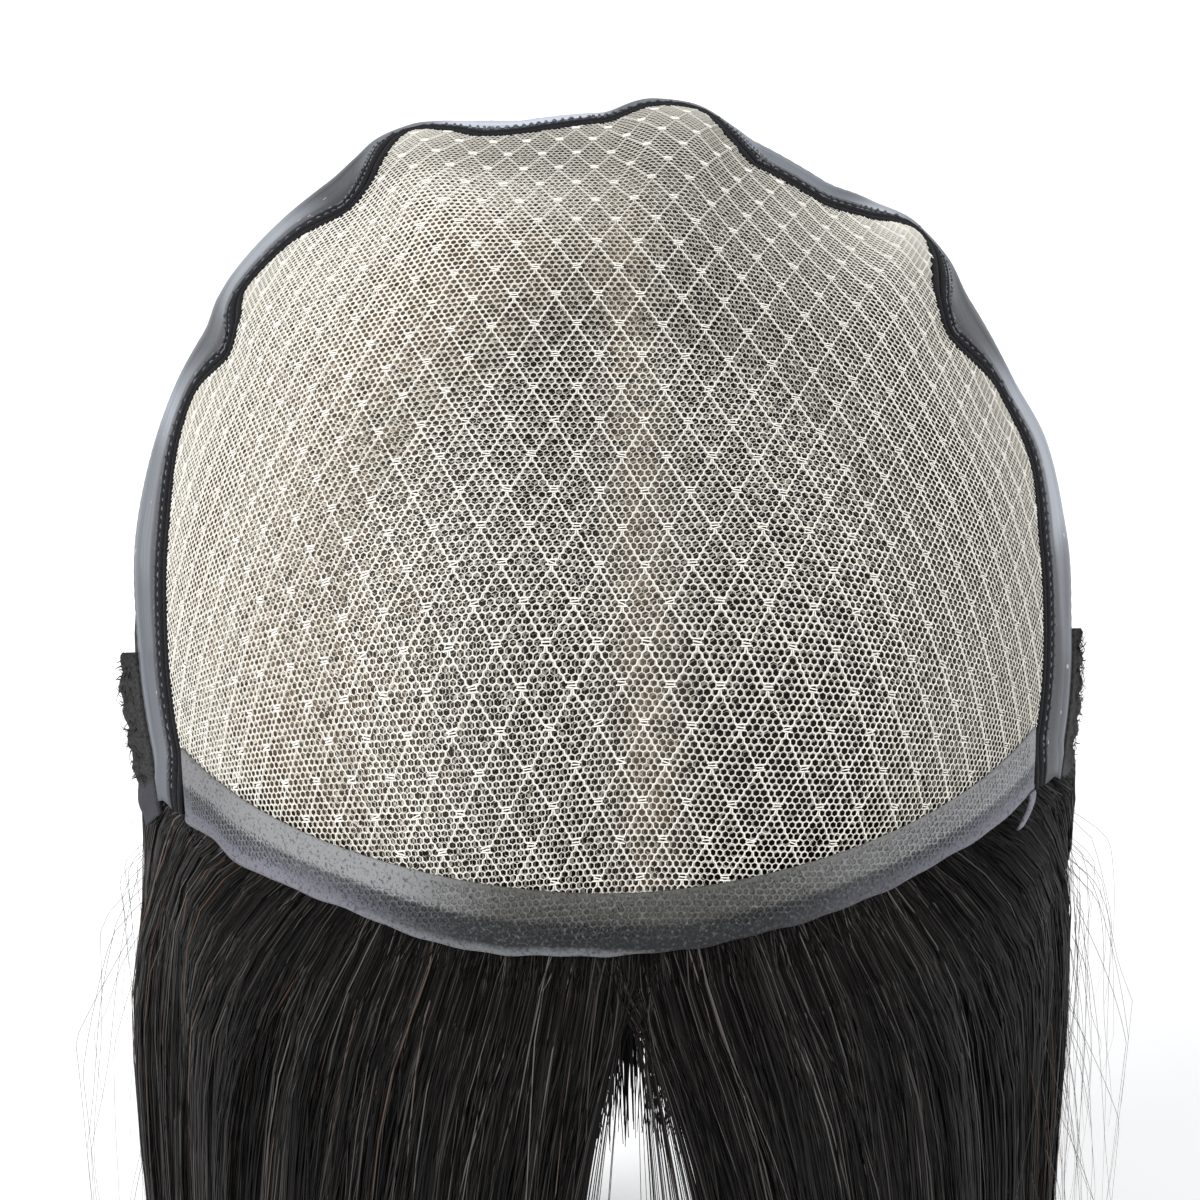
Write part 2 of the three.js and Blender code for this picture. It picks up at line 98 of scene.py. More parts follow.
# Rim of the lace: clock angle, edge of the lace, outer edge of the tape, lift of the crest or dip
SCALLOPS = np.array([
    (70.5, 60.2, 75.5, 0), (77, 56.4, 69.5, 0), (89, 56.8, 69, 0), (99, 58.4, 75, 0),
    (108.5, 61.8, 78, 0.4), (116.5, 63.2, 75.5, -0.6), (126.5, 57.6, 76, -0.2), (131.5, 60.4, 80, 1),
    (136, 73.6, 84, 1.2), (142.5, 67.4, 80, -1.2), (149, 64.2, 73.5, -2.4), (158.5, 64.4, 75, -2.2),
    (161.5, 68, 78.5, -1.6), (167, 76.4, 84, 0), (171.5, 74.8, 84, -0.4), (178.5, 70.6, 76, -2.8),
    (188, 68.6, 74.5, -2.6), (194, 69.2, 78.5, -1.6), (198.5, 73.2, 82, 0.2), (202, 75.8, 86, 1.6),
    (206, 68.8, 84, 2), (209.5, 64.2, 82.5, 1.2), (213.3, 63, 81.5, 0.6), (221, 66.8, 82, 1),
    (228.5, 68, 83, 1.2), (231.7, 63.6, 81.5, 1), (235.7, 62.6, 79.5, 0), (242, 66.6, 80.5, 0.2),
    (257, 61.4, 77, 0), (270, 58.8, 69.5, 0), (281.5, 58.4, 68, 0), (289.3, 63.4, 73, 0),
])
FIRST_CLOCK, LAST_CLOCK = SCALLOPS[0, 0], SCALLOPS[-1, 0]
RIGHT_CORNER, LEFT_CORNER = 78.0, 281.6
LIFT_FROM, LIFT_TO, LIFT_FADE_FROM, LIFT_FADE_TO = 36, 62, 88, 118

# Front hairline: height at the middle, drop at the ends, power of the drop, lean to one side
LACE_FRONT = (26, 8, 2.6, 0.008)
BAND_FRONT = (17.2, 11, 3.3, 0.02)
FRONT_HALF = 66.5
BAND_LEFT, BAND_RIGHT = -66.3, 64.4
TAIL_TO = 64.0
BAND_LAP, BAND_SHADE = 0.55, 0.8
HEM_AT_EARS, HEM_EARS_Y, HEM_FALL = -12, -40, 0.55
CAP_ROW_PITCH, CAP_ROW_HALF, CAP_ROW_RISE = 11.0, 1.1, 0.6
# Ear tabs: degrees to a mm of reach, and number of loose threads
TAB_DEGREE, TAB_THREADS = math.degrees(1 / HALF_WIDTH), 150
# Each tab: clock angles from and to, flare, share at which the coat starts, reach along the torn edge
EAR_TABS = {
    "left": (271.2, 288.2, 2, 0.8, (0.8, 3.6, 6.4, 4.8, 5, 5.6, 5.2, 4.6, 4.8)),
    "right": (88.5, 73, 1, 0.9, (0.8, 1.4, 2, 3, 4.6, 5.6, 5.8, 5.4, 4.8)),
}

# Hair: angle round the head, level of the rim, swell below it
HAIRLINE = np.array([
    (0, 15.5, 10), (30, 13.5, 10), (46, 7, 10.5), (56, -11, 11), (65, -15, 12.5),
    (80, -28, 13.5), (95, -42, 14), (113, -57, 13.5), (135, -71, 12.5), (180, -82, 11),
])
HAIR_HEM, HAIR_SWELL_OVER, HAIR_FLARE, NAPE_FILL_OVER = -256, 20, 10, 110
FLARE_OVER, LOCK_DEPTH, LOCK_TIP, LOCK_OVER = 215, 1.5, 9, 60
# Body of the hair under the strands: inset, shortening at the sides and nape, jagged tips
FORM_INSET, FORM_SHORT, NAPE_SHORT, FORM_JAG, GOLDEN = 2, 16, 44, 22, 0.618
CROWN_LIFT, CROWN_START, CROWN_CLOSE, CROWN_ROWS, FALL_ROWS = 3.1, 0.5, -0.33, 28, 32
PART_TOP, PART_SOFT, PART_HALF, PART_OVER = 12, 3, 15, 85
PART_OPENING = {"left": 1, "right": 1.6}
# Panels: angles round the head from and to, number of locks
PANELS = {"left": (0, -113, 6), "right": (0, 113, 6), "back": (113.6, 246.4, 7)}
# Strands of each panel: number, points along each, width
STRANDS = {"left": (6500, 14, 0.2), "right": (6500, 14, 0.2), "back": (3500, 11, 0.52)}
# Sweep of the strands: angle round the head at the root and lower down
SWEEP_ROOT = (0, 10, 16, 26, 35, 45, 56, 70, 90, 113)
SWEEP_LOW = (0, 12, 20, 35, 51, 62, 71, 82, 97, 113)
SWEEP_OVER = 46
# Roots of the strands: angle, height above the hair body's rim, outward place
STRAND_ROOTS = np.array([
    (0, 2.0, 4.6), (40, 2.6, 4.6), (46, 3.5, 4.6), (52, 11.5, 4.6), (56, 17, 4.4), (61, 12, 4.8),
    (66, 12, 5.2), (75, 14, 5.4), (85, 14, 5.2), (100, 8, 5), (113, 2, 3.6), (180, 1.5, 3.1),
])
STRAND_SWELL_FRONT, STRAND_SWELL_SIDE, SIDE_LIFT = 10, 54, 3
LEFT_FULLER, RIGHT_LIFT, RIGHT_TRIM = 1.5, 1.5, 1.8
ROOT_SCATTER, STRAND_BED, CLUMPS_PER_LOCK = 0.017, 2.2, 7
# Painted shade on the side strands: how much their tone is darkened at each side, lightened where below 0
SIDE_PAINTED_SHADE = {"left": -0.2, "right": 0.5, "back": 0.3}
# Tips of the strands at the sides and at the nape: lowest place below the hem, range, thinning
SIDE_TIPS, NAPE_TIPS = np.array((10, 38, 1.8)), np.array((19, 72, 1.1))
GATHER = {"left": 0.45, "right": 0.45, "back": 0.15}
# Spread of the strands: out of their clumps, of the clumps outward and sideways, of each strand, and tilt
CLUMP_MIX, CLUMP_OUT, CLUMP_DRIFT, STRAND_DRIFT, FEATHER, TILT = 0.25, 0.7, 0.006, 0.011, 0.01, 0.6
ROOT_UNEVEN, STRAND_WAVE, STRAND_LAYER = 1.6, 0.4, 0.8
# Strands over the parting and loose at the sides: number, points along each, width
VEIL, FLYAWAYS = (170, 16, 0.14), (110, 30, 0.1)

# Lace pattern: diamond pitch across and along, and the pull of the cloth over the head
DIAMOND_ACROSS, DIAMOND_ALONG = 7.2, 5.47
KNOT_ROW, PULL_OVER = -7.5, 60
ROW_BOW, ROW_BOW_FADE, ROW_LEAN, ROW_FAN, ROW_END = 6.0, -3.2, 1.5, -2.5, 2.0
COLUMN_FAN, COLUMN_DRAW, COLUMN_LEAN = -6.0, -2.2, -2.6
CELLS_PER_DIAMOND = 6
CELL = DIAMOND_ACROSS / CELLS_PER_DIAMOND
ROW = DIAMOND_ALONG / CELLS_PER_DIAMOND
CORNER = ROW / 1.5
NET_COLUMNS, NET_ROWS, KNOT_COLUMNS, KNOT_ROWS = (-92, 93), (-132, 80), (-16, 17), (-22, 10)
NET_STRAND, RIM_STRAND, UNDER_SLIM = 0.19, 0.2, 0.08
NET_DEPTH, NET_LOOSE, SIDES_LOW, SIDES_HIGH = 0.3, 0.03, 0.2, 0.42
UNDER_DEPTH, UNDER_LOOSE, UNDER_SHIFT = 0.95, 0.1, (0.36, 0.22)
BAND_NET_STRAND, BAND_NET_LOOSE, BAND_NET_DEPTH = 0.3, 0.06, -0.36
PATTERN_WIDTH, PATTERN_SLIM, PATTERN_RIDGE, PATTERN_DEPTH, STRAIGHTEN = 0.205, 0.2, 0.1, 0.22, 0.3
BAR_HALF, BAR_WIDTH, BAR_PITCH, BAR_RIDGE, BAR_DEPTH = 0.84, 0.18, 0.4, 0.12, 0.14
FAR_LACE, FAR_SLIM = (-30, 12), 0.4
LINING_AND_LIGHT_TOP, SIDES_FROM = 30, 30

# Studio: colour and strength of the surroundings
WORLD_COLOUR, WORLD_LIGHT = (0.97, 0.985, 1.0, 1), 0.68
# Lights, m: place and power of each, their size and aim, and the floor below the hem
LIGHTS = {"key": ((-2.0, -1.3, 2.1), 76), "fill": ((1.9, -1.1, 1.8), 32), "back": ((0.2, 1.7, 2.0), 8)}
LIGHT_SIZE, LIGHT_AIM, FLOOR_BELOW, FLOOR_HALF = 1.6, (0, -0.03, -0.06), 0.05, 4
# Camera: place from the head's middle, mm, lens and upward shift
CAMERA_PLACE, CAMERA_LENS, CAMERA_SENSOR, CAMERA_SHIFT = (-16.53, -372.26, 307.17), 84.24, 36, 0.0126


# Small tools
def smoothstep(low, high, value):
    t = np.clip((np.asarray(value, float) - low) / (high - low), 0, 1)
    return t * t * (3 - 2 * t)


def spread(scale, strands):
    """A random amount about 0 for each strand, as a column."""
    return RNG.normal(0, scale, strands)[:, None]


def draw(low, high, strands):
    """A random amount between two values for each strand, as a column."""
    return RNG.uniform(low, high, strands)[:, None]


class Track:
    """Smooth column of a table, with no overshoot between its rows."""

    def __init__(self, at, values):
        self.at, self.values = np.asarray(at, float), np.asarray(values, float)
        steep = np.diff(self.values) / np.diff(self.at)
        before = np.concatenate([steep[:1], steep])
        after = np.concatenate([steep, steep[-1:]])
        product = before * after
        total = np.where(product > 0, before + after, 1)
        self.slope = np.where(product > 0, 2 * product / total, 0)

    def __call__(self, x):
        x = np.asarray(x, float)
        k = np.clip(np.searchsorted(self.at, x, side="right") - 1, 0, len(self.at) - 2)
        width = self.at[k + 1] - self.at[k]
        t = np.clip((x - self.at[k]) / width, 0, 1)
        a, b = self.values[k], self.values[k + 1]
        bend = width * t * (1 - t) * (self.slope[k] * (1 - t) - self.slope[k + 1] * t)
        return a + (b - a) * t * t * (3 - 2 * t) + bend


def tracks(table):
    """A track by the first column of a table for each of its other columns."""
    return [Track(table[:, 0], column) for column in table.T[1:]]


EDGE, TAPE, LIFT = tracks(SCALLOPS)
LEVEL, SWELL = tracks(HAIRLINE)
ROOT_RAISE, ROOT_OUT = tracks(STRAND_ROOTS)
BAND_WAVE = Track(
    (-66.3, -63.3, -61.5, -59.7, -58.2, -56.2, -52.6, -50, -42.6, -33.6, -26, -18.6, -9.6, 3, 30, 56, 65),
    (0.9, 1.7, 1.9, 0.95, 0.2, 0, 0.5, 0.8, 0.6, -0.3, -1.1, -0.8, -0.3, 0.1, 0.2, 0.9, 1.2),
)


# The dome that the cap is shaped on
def direction(polar, clock):
    p, c = np.radians(polar)[..., None], np.radians(clock)[..., None]
    side = RIGHT * np.sin(c) + FRONT * np.cos(c)
    return MIDDLE * np.cos(p) + side * np.sin(p)


def lift(polar, clock):
    """How far a crest or dip near the rim stands out of the dome."""
    rise = smoothstep(LIFT_FROM, LIFT_TO, polar) - smoothstep(LIFT_FADE_FROM, LIFT_FADE_TO, polar)
    return LIFT(np.mod(clock, 360)) * rise


def rise_at(height):
    """Half height of the head form, above its middle or below it."""
    return np.where(height > 0, CROWN_RISE, NAPE_DROP)


def form_point(u, swell):
    """Points of the head form in given directions, swollen by an amount."""
    return np.stack([
        u[..., 0] * (HALF_WIDTH + swell),
        u[..., 1] * (HALF_LENGTH + swell),
        u[..., 2] * (rise_at(u[..., 2]) + swell) + CENTRE_Z,
    ], -1)


def dome(polar, clock, depth):
    """Points at angles from the lace's middle, a depth below the face of the lace."""
    polar, clock = np.broadcast_arrays(np.asarray(polar, float), np.asarray(clock, float))
    return form_point(direction(polar, clock), lift(polar, clock) - depth)


def angles_of(points):
    """Angles from the lace's middle at which points lie."""
    z = points[..., 2] - CENTRE_Z
    u = np.stack([points[..., 0] / HALF_WIDTH, points[..., 1] / HALF_LENGTH, z / rise_at(z)], -1)
    u /= np.linalg.norm(u, axis=-1, keepdims=True)
    polar = np.degrees(np.arccos(np.clip(u @ MIDDLE, -1, 1)))
    clock = np.degrees(np.arctan2(u @ RIGHT, u @ FRONT))
    return polar, np.mod(clock, 360)


def front_height(edge, x):
    """Height of an edge of the front hairline at a place across the head."""
    height, drop, power, lean = edge
    return height + lean * x - drop * np.abs(x / FRONT_HALF) ** power


def solve_polar(measure, low, high):
    """Angles from the middle at which a measure falls to 0, found by halving."""
    above, below = np.array(low, float), np.array(high, float)
    for _ in range(36):
        half = (above + below) / 2
        over = measure(half) > 0
        above, below = np.where(over, half, above), np.where(over, below, half)
    return above


def make_lace_track():
    """Angle from the middle at which the lace ends, all the way round."""
    clocks = np.linspace(0, 360, 1441)
    turn = np.where(clocks > 180, clocks - 360, clocks)

    def over_front(polar):
        p = dome(polar, turn, 0)
        return p[:, 2] - CENTRE_Z - front_height(LACE_FRONT, p[:, 0])

    front = solve_polar(over_front, np.full(len(clocks), 4), np.full(len(clocks), 80))
    back = (clocks >= RIGHT_CORNER) & (clocks <= LEFT_CORNER)
    return clocks, np.where(back, EDGE(clocks), front)


LACE_CLOCKS, LACE_POLARS = make_lace_track()


def lace_polar(clock):
    return np.interp(np.mod(clock, 360), LACE_CLOCKS, LACE_POLARS)


def make_lay_table():
    """Angle from the middle for each clock angle and distance along the dome."""
    clocks = np.arange(0, 361, 2.0)
    polars = np.arange(0, 111, 1.0)
    reach = np.arange(0, 151, 1.0)
    u = direction(*np.meshgrid(polars, clocks)) * AXES
    steps = np.linalg.norm(np.diff(u, axis=1), axis=-1)
    lengths = np.concatenate([np.zeros((len(clocks), 1)), np.cumsum(steps, 1)], 1)
    return np.stack([np.interp(reach, row, polars) for row in lengths])


LAY_TABLE = make_lay_table()


def pull(x, y):
    """Lace as it is pulled over the head: rows bow to the front, columns fan out to the back."""
    u, v = x / PULL_OVER, y / PULL_OVER
    pulled_x = x + COLUMN_FAN * u * v + COLUMN_DRAW * u ** 3 + COLUMN_LEAN * v
    bow = ROW_BOW * u * u + ROW_BOW_FADE * u * u * v
    return pulled_x, KNOT_ROW + y + bow + ROW_LEAN * u + ROW_FAN * u * v + ROW_END * v ** 3


def lay(x, y):
    """Angles on the dome of a flat point of the lace: x to the right, y to the front."""
    x, y = pull(x, y)
    r = np.hypot(x, y)
    clock = np.mod(np.degrees(np.arctan2(x, y)), 360)
    i = np.clip((clock / 2).astype(int), 0, LAY_TABLE.shape[0] - 2)
    k = np.clip(r.astype(int), 0, LAY_TABLE.shape[1] - 2)
    a, b = clock / 2 - i, r - k
    low = LAY_TABLE[i, k] * (1 - b) + LAY_TABLE[i, k + 1] * b
    high = LAY_TABLE[i + 1, k] * (1 - b) + LAY_TABLE[i + 1, k + 1] * b
    return low * (1 - a) + high * a, clock


# Mesh making
def add_object(name, data):
    """A new object in the scene."""
    obj = bpy.data.objects.new(name, data)
    bpy.context.collection.objects.link(obj)
    return obj


def add_piece(name, points, quads=(), tris=(), material=None, slot=None, replaces=(), smooth=True, **values):
    """A mesh piece from points in mm and faces, with named point values for its material."""
    quads = np.asarray(quads, np.int32).reshape(-1, 4)
    tris = np.asarray(tris, np.int32).reshape(-1, 3)
    mesh = bpy.data.meshes.new(name)
    mesh.vertices.add(len(points))
    mesh.vertices.foreach_set("co", (np.asarray(points) * MM).astype(np.float32).ravel())
    loops = np.concatenate([quads.ravel(), tris.ravel()])
    starts = np.concatenate([np.arange(len(quads)) * 4, len(quads) * 4 + np.arange(len(tris)) * 3])
    mesh.loops.add(len(loops))
    mesh.loops.foreach_set("vertex_index", loops.astype(np.int32))
    mesh.polygons.add(len(starts))
    mesh.polygons.foreach_set("loop_start", starts.astype(np.int32))
    mesh.polygons.foreach_set("use_smooth", np.full(len(starts), smooth))
    for key, value in values.items():
        layer = mesh.attributes.new(key, "FLOAT", "POINT")
        layer.data.foreach_set("value", np.asarray(value, np.float32).ravel())
    mesh.update(calc_edges=True)
    mesh.materials.append(material)
    obj = add_object(name, mesh)
    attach(obj, "root")
    if replaces:
        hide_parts(*replaces)


def grid_faces(rows, columns, start=0, flip=False):
    i, j = np.meshgrid(np.arange(rows - 1), np.arange(columns - 1), indexing="ij")
    a = start + i * columns + j
    quads = np.stack([a, a + columns, a + columns + 1, a + 1], -1).reshape(-1, 4)
    return quads[:, ::-1] if flip else quads


def shell(outer, inner):
    """Points and faces of a closed wall between two grids of points."""
    rows, columns = outer.shape[:2]
    count = rows * columns
    points = np.concatenate([outer.reshape(-1, 3), inner.reshape(-1, 3)])
    ids = np.arange(count).reshape(rows, columns)
    border = np.concatenate([ids[0, :-1], ids[:-1, -1], ids[-1, :0:-1], ids[:0:-1, 0]])
    after = np.roll(border, -1)
    rim = np.stack([border, after, after + count, border + count], -1)
    quads = np.concatenate([grid_faces(rows, columns), grid_faces(rows, columns, count, True), rim])
    a, b, c = outer[0, 0], outer[1, 0], outer[0, 1]
    inwards = np.dot(np.cross(b - a, c - a), inner[0, 0] - a)
    return points, quads if inwards < 0 else quads[:, ::-1]


def wall_values(values, shape):
    """Point values of a wall, the same on both of its faces."""
    return np.tile(np.broadcast_to(values, shape).ravel(), 2)


def join(*meshes):
    """Points and faces of several meshes as one mesh."""
    starts = np.cumsum([0] + [len(points) for points, _ in meshes])
    faces = [some + start for (_, some), start in zip(meshes, starts)]
    return np.concatenate([points for points, _ in meshes]), np.concatenate(faces)


def tube(path, spokes_a, spokes_b, radius, sides):
    """Points and faces of a round tube along a path, with given cross directions."""
    angle = np.linspace(0, 2 * math.pi, sides, endpoint=False)
    ring = spokes_a[:, None] * np.cos(angle)[:, None] + spokes_b[:, None] * np.sin(angle)[:, None]
    points = (path[:, None] + ring * np.reshape(radius, (-1, 1, 1))).reshape(-1, 3)
    n = len(path)
    i, j = np.meshgrid(np.arange(n - 1), np.arange(sides), indexing="ij")
    a, b = i * sides + j, i * sides + (j + 1) % sides
    quads = np.stack([a, b, b + sides, a + sides], -1).reshape(-1, 4)
    fan = [(0, k + 1, k) for k in range(1, sides - 1)]
    last = (n - 1) * sides
    fan += [(last, last + k, last + k + 1) for k in range(1, sides - 1)]
    return points, quads, np.array(fan)


def ribbons(paths, sides, width):
    """Points and faces of flat strips: paths and side directions are strand by step by 3."""
    strands, steps = paths.shape[:2]
    half = sides * (np.broadcast_to(width, paths.shape[:2])[..., None] / 2)
    points = np.stack([paths - half, paths + half], 2).reshape(-1, 3)
    s, k = np.meshgrid(np.arange(strands), np.arange(steps - 1), indexing="ij")
    a = (s * steps + k) * 2
    return points, np.stack([a, a + 1, a + 3, a + 2], -1).reshape(-1, 4)


def unit(v):
    return v / np.maximum(np.linalg.norm(v, axis=-1, keepdims=True), 1e-9)


def flat_sides(paths, outward):
    """Side directions of strips that lie flat, with their faces towards the outward directions."""
    return unit(np.cross(unit(np.gradient(paths, axis=1)), outward))


# Materials
class Paint:
    """A node material with a Principled shader, and short ways to add nodes to it."""

    def __init__(self, name, **sockets):
        self.material = bpy.data.materials.new(name)
        self.material.use_nodes = True
        self.nodes = self.material.node_tree.nodes
        self.links = self.material.node_tree.links
        self.shader = self.nodes["Principled BSDF"]
        for key, value in sockets.items():
            self.shader.inputs[key.replace("_", " ")].default_value = value

    def node(self, kind, inputs=None, **settings):
        node = self.nodes.new(kind)
        for key, value in settings.items():
            setattr(node, key, value)
        for key, value in (inputs or {}).items():
            self.feed(node.inputs[key], value)
        return node

    def feed(self, socket, value):
        if isinstance(value, bpy.types.NodeSocket):
            self.links.new(value, socket)
        else:
            socket.default_value = value

    def set(self, key, value):
        self.feed(self.shader.inputs[key], value)

    def value(self, name):
        return self.node("ShaderNodeAttribute", attribute_name=name).outputs["Fac"]

    def math(self, operation, a, b=0.0):
        return self.node("ShaderNodeMath", {0: a, 1: b}, operation=operation).outputs[0]

    def place(self):
        return self.node("ShaderNodeTexCoord").outputs["Object"]

    def noise(self, scale, detail=2.0, where=None, rough=0.5):
        inputs = {"Vector": where or self.place(), "Scale": scale, "Detail": detail, "Roughness": rough}
        return self.node("ShaderNodeTexNoise", inputs).outputs["Fac"]

    def ramp(self, factor, *stops):
        """Colours by a factor. A stop is a position with a colour or, for a grey, one number."""
        node = self.node("ShaderNodeValToRGB", {"Fac": factor})
        elements = node.color_ramp.elements
        while len(elements) < len(stops):
            elements.new(0.5)
        for element, (position, colour) in zip(elements, stops):
            element.position = position
            element.color = (*colour, 1) if isinstance(colour, tuple) else (colour, colour, colour, 1)
        return node.outputs["Color"]

    def mix(self, factor, a, b, blend="MIX"):
        node = self.node("ShaderNodeMix", data_type="RGBA", blend_type=blend)
        self.feed(node.inputs[0], factor)
        for socket, value in ((node.inputs[6], a), (node.inputs[7], b)):
            self.feed(socket, (*value, 1) if isinstance(value, tuple) else value)
        return node.outputs[2]

    def scale(self, colour, factor):
        node = self.node("ShaderNodeVectorMath", {0: colour, "Scale": factor}, operation="SCALE")
        return node.outputs["Vector"]

    def bump(self, height, distance, strength=1.0):
        node = self.node("ShaderNodeBump", {"Height": height, "Distance": distance, "Strength": strength})
        self.set("Normal", node.outputs["Normal"])


def lace_paint(name, light, shade, other):
    """Cotton yarn, which blends into another tone where its points say so; on the nets the other tone is
    partly painted light.
    """
    paint = Paint(name, Roughness=0.75, Specular_IOR_Level=0.25)
    colour = paint.ramp(paint.noise(55.0, 3.0), (0.3, shade), (0.7, light))
    paint.set("Base Color", paint.mix(paint.value("blend"), colour, other))
    return paint.material


def hair_paint(name):
    """Hair with a tone of its own on each strand: most near black, a few reddish, and a few pale ones that
    are painted highlights of single strands in place of shine.
    """
    paint = Paint(name, Roughness=0.36, Specular_IOR_Level=0.02)
    # The pale stops are painted highlights of single strands
    tone = paint.ramp(
        paint.value("tint"),
        (0.0, (0.0018, 0.0016, 0.0015)), (0.4, (0.0145, 0.0132, 0.0126)), (0.62, (0.052, 0.048, 0.046)),
        (0.84, (0.105, 0.097, 0.093)), (0.92, (0.09, 0.05, 0.034)),
    )
    paint.set("Base Color", tone)
    return paint.material


def under_hair_paint():
    """Hair body: streaks along the fall of the hair, with pale silk showing under the lace."""
    paint = Paint("under_hair", Roughness=0.55, Specular_IOR_Level=0.2)
    streak = paint.node("ShaderNodeCombineXYZ", {
        0: paint.value("around"),
        1: paint.math("MULTIPLY", paint.value("fall"), 0.02),
    }).outputs[0]
    grain = paint.noise(3.2, 4.0, streak, 0.7)
    hair = paint.ramp(grain, (0.3, (0.003, 0.0027, 0.0025)), (0.75, (0.014, 0.0115, 0.01)))
    patch = paint.ramp(paint.noise(420.0, 2.0), (0.32, 0.25), (0.62, 1))
    silk = paint.mix(1.0, paint.value("silk"), patch, "MULTIPLY")
    paint.set("Base Color", paint.mix(silk, hair, (0.5, 0.37, 0.25)))
    paint.bump(grain, 0.0006, 0.6)
    return paint.material


def band_paint():
    """Coated band: grey near the lace, a dark middle, a woven lower rim, and pale ends."""
    paint = Paint("front_band_coat", Roughness=0.6, Specular_IOR_Level=0.12)
    across = paint.value("across")
    zone = paint.ramp(
        across,
        (0.0, (0.1, 0.098, 0.09)), (0.14, (0.082, 0.081, 0.074)), (0.4, (0.066, 0.065, 0.059)),
        (0.5, (0.026, 0.027, 0.027)), (0.84, (0.022, 0.023, 0.025)), (0.91, (0.12, 0.125, 0.132)),
        (1.0, (0.2, 0.21, 0.222)),
    )
    upper = paint.mix(paint.value("end"), zone, (0.3, 0.3, 0.308))
    pale = paint.ramp(
        across,
        (0.46, (0.12, 0.124, 0.134)), (0.6, (0.13, 0.132, 0.15)), (0.78, (0.2, 0.196, 0.235)),
        (1.0, (0.235, 0.235, 0.268)),
    )
    lower = paint.mix(paint.value("fold"), zone, pale)
    split = paint.ramp(across, (0.41, 0), (0.48, 1))
    speck = paint.noise(1900.0, 1.5, rough=0.7)
    light = paint.ramp(speck, (0.54, 0), (0.75, 0.3))
    dark = paint.ramp(speck, (0.28, 0.7), (0.48, 0))
    speckled = paint.mix(light, paint.mix(split, upper, lower), (0.24, 0.24, 0.25))
    coat = paint.mix(dark, speckled, (0.014, 0.014, 0.016))
    paint.set("Base Color", paint.scale(coat, paint.value("bright")))
    paint.bump(speck, 0.0003, 0.5)
    return paint.material


def tape_paint():
    """Satin tape with painted sheen and shade that change along the rim, painted shade in a lane beside the
    cord, and a painted highlight along its outer fold.
    """
    paint = Paint("grip_tape_coat", Roughness=0.4, Specular_IOR_Level=0.04)
    across, along = paint.value("across"), paint.value("along")
    streak = paint.node("ShaderNodeCombineXYZ", {
        0: paint.math("MULTIPLY", across, 9.0),
        1: paint.math("MULTIPLY", along, 0.05),
    }).outputs[0]
    grain = paint.noise(1.6, 4.0, streak, 0.7)
    satin = paint.ramp(grain, (0.3, (0.62, 0.665, 0.77)), (0.7, (0.85, 0.91, 1.0)))
    # Painted sheen and shade: the satin colour scaled by the painted lightness along the rim
    satin_with_painted_sheen = paint.scale(satin, paint.value("tone"))
    # Painted shade in a lane beside the cord
    lane = paint.ramp(paint.value("lane"), (0.0, 0.92), (0.6, 0.75), (1.0, 0))
    shaded = paint.mix(lane, satin_with_painted_sheen, (0.014, 0.014, 0.018))
    # Painted highlight along the outer fold of the tape
    fold = paint.ramp(across, (0.72, 0), (0.82, 0.3), (0.92, 0))
    fold_highlighted = paint.mix(fold, shaded, (0.3, 0.31, 0.34))
    cells = paint.node("ShaderNodeTexVoronoi", {"Vector": paint.place(), "Scale": 210.0}).outputs["Distance"]
    dust = paint.ramp(cells, (0.06, 0.8), (0.09, 0))
    paint.set("Base Color", paint.mix(dust, fold_highlighted, (0.5, 0.5, 0.5)))
    paint.bump(grain, 0.0003, 0.4)
    return paint.material


def cloth_paint(name, dark, light, scale, coat=None):
    """Woven cloth, with a smooth coated part where a coat colour is given."""
    paint = Paint(name, Roughness=0.85, Specular_IOR_Level=0.2)
    weave = paint.noise(scale, 3.0, rough=0.7)
    colour = paint.ramp(weave, (0.3, dark), (0.75, light))
    if coat:
        colour = paint.mix(paint.value("coat"), colour, coat)
    paint.set("Base Color", colour)
    paint.bump(weave, 0.0005, 0.8)
    return paint.material


LACE = lace_paint("lace_yarn", (0.6, 0.578, 0.524), (0.53, 0.508, 0.46), (0.79, 0.765, 0.705))
# Under net: the same yarn painted darker, as painted shade under the upper net, and paler by the lining,
# which is partly painted light
LACE_UNDER_SHADED = lace_paint("lace_under_yarn_shaded", (0.38, 0.355, 0.305), (0.25, 0.23, 0.195), (0.8, 0.77, 0.7))
PATTERN = lace_paint("lace_pattern_yarn", (0.76, 0.74, 0.68), (0.7, 0.68, 0.62), (0.88, 0.855, 0.795))
HAIR = hair_paint("hair_strands")
UNDER_HAIR = under_hair_paint()
BAND = band_paint()
TAPE_COAT = tape_paint()
CORD = cloth_paint("black_cord", (0.004, 0.004, 0.005), (0.016, 0.016, 0.019), 2600.0)
STITCH = cloth_paint("stitch_thread", (0.04, 0.04, 0.046), (0.24, 0.24, 0.27), 900.0)
DARK_CLOTH = cloth_paint("dark_stretch_cloth", (0.004, 0.004, 0.005), (0.042, 0.039, 0.042), 650.0)
TAB_COAT = (0.05, 0.05, 0.06)
TAB_CLOTH = cloth_paint("frayed_cloth", (0.009, 0.009, 0.009), (0.055, 0.055, 0.054), 1500.0, TAB_COAT)


# Lace: a net of six-sided cells with a second net under it and a diamond pattern on it
def staggered(columns, rows, across, along):
    """Flat places on a grid with every odd row shifted by half a step, and whether each row is odd."""
    i, j = np.meshgrid(np.arange(*columns), np.arange(*rows), indexing="ij")
    odd = j % 2
    return i * across + odd * across / 2, j * along, odd


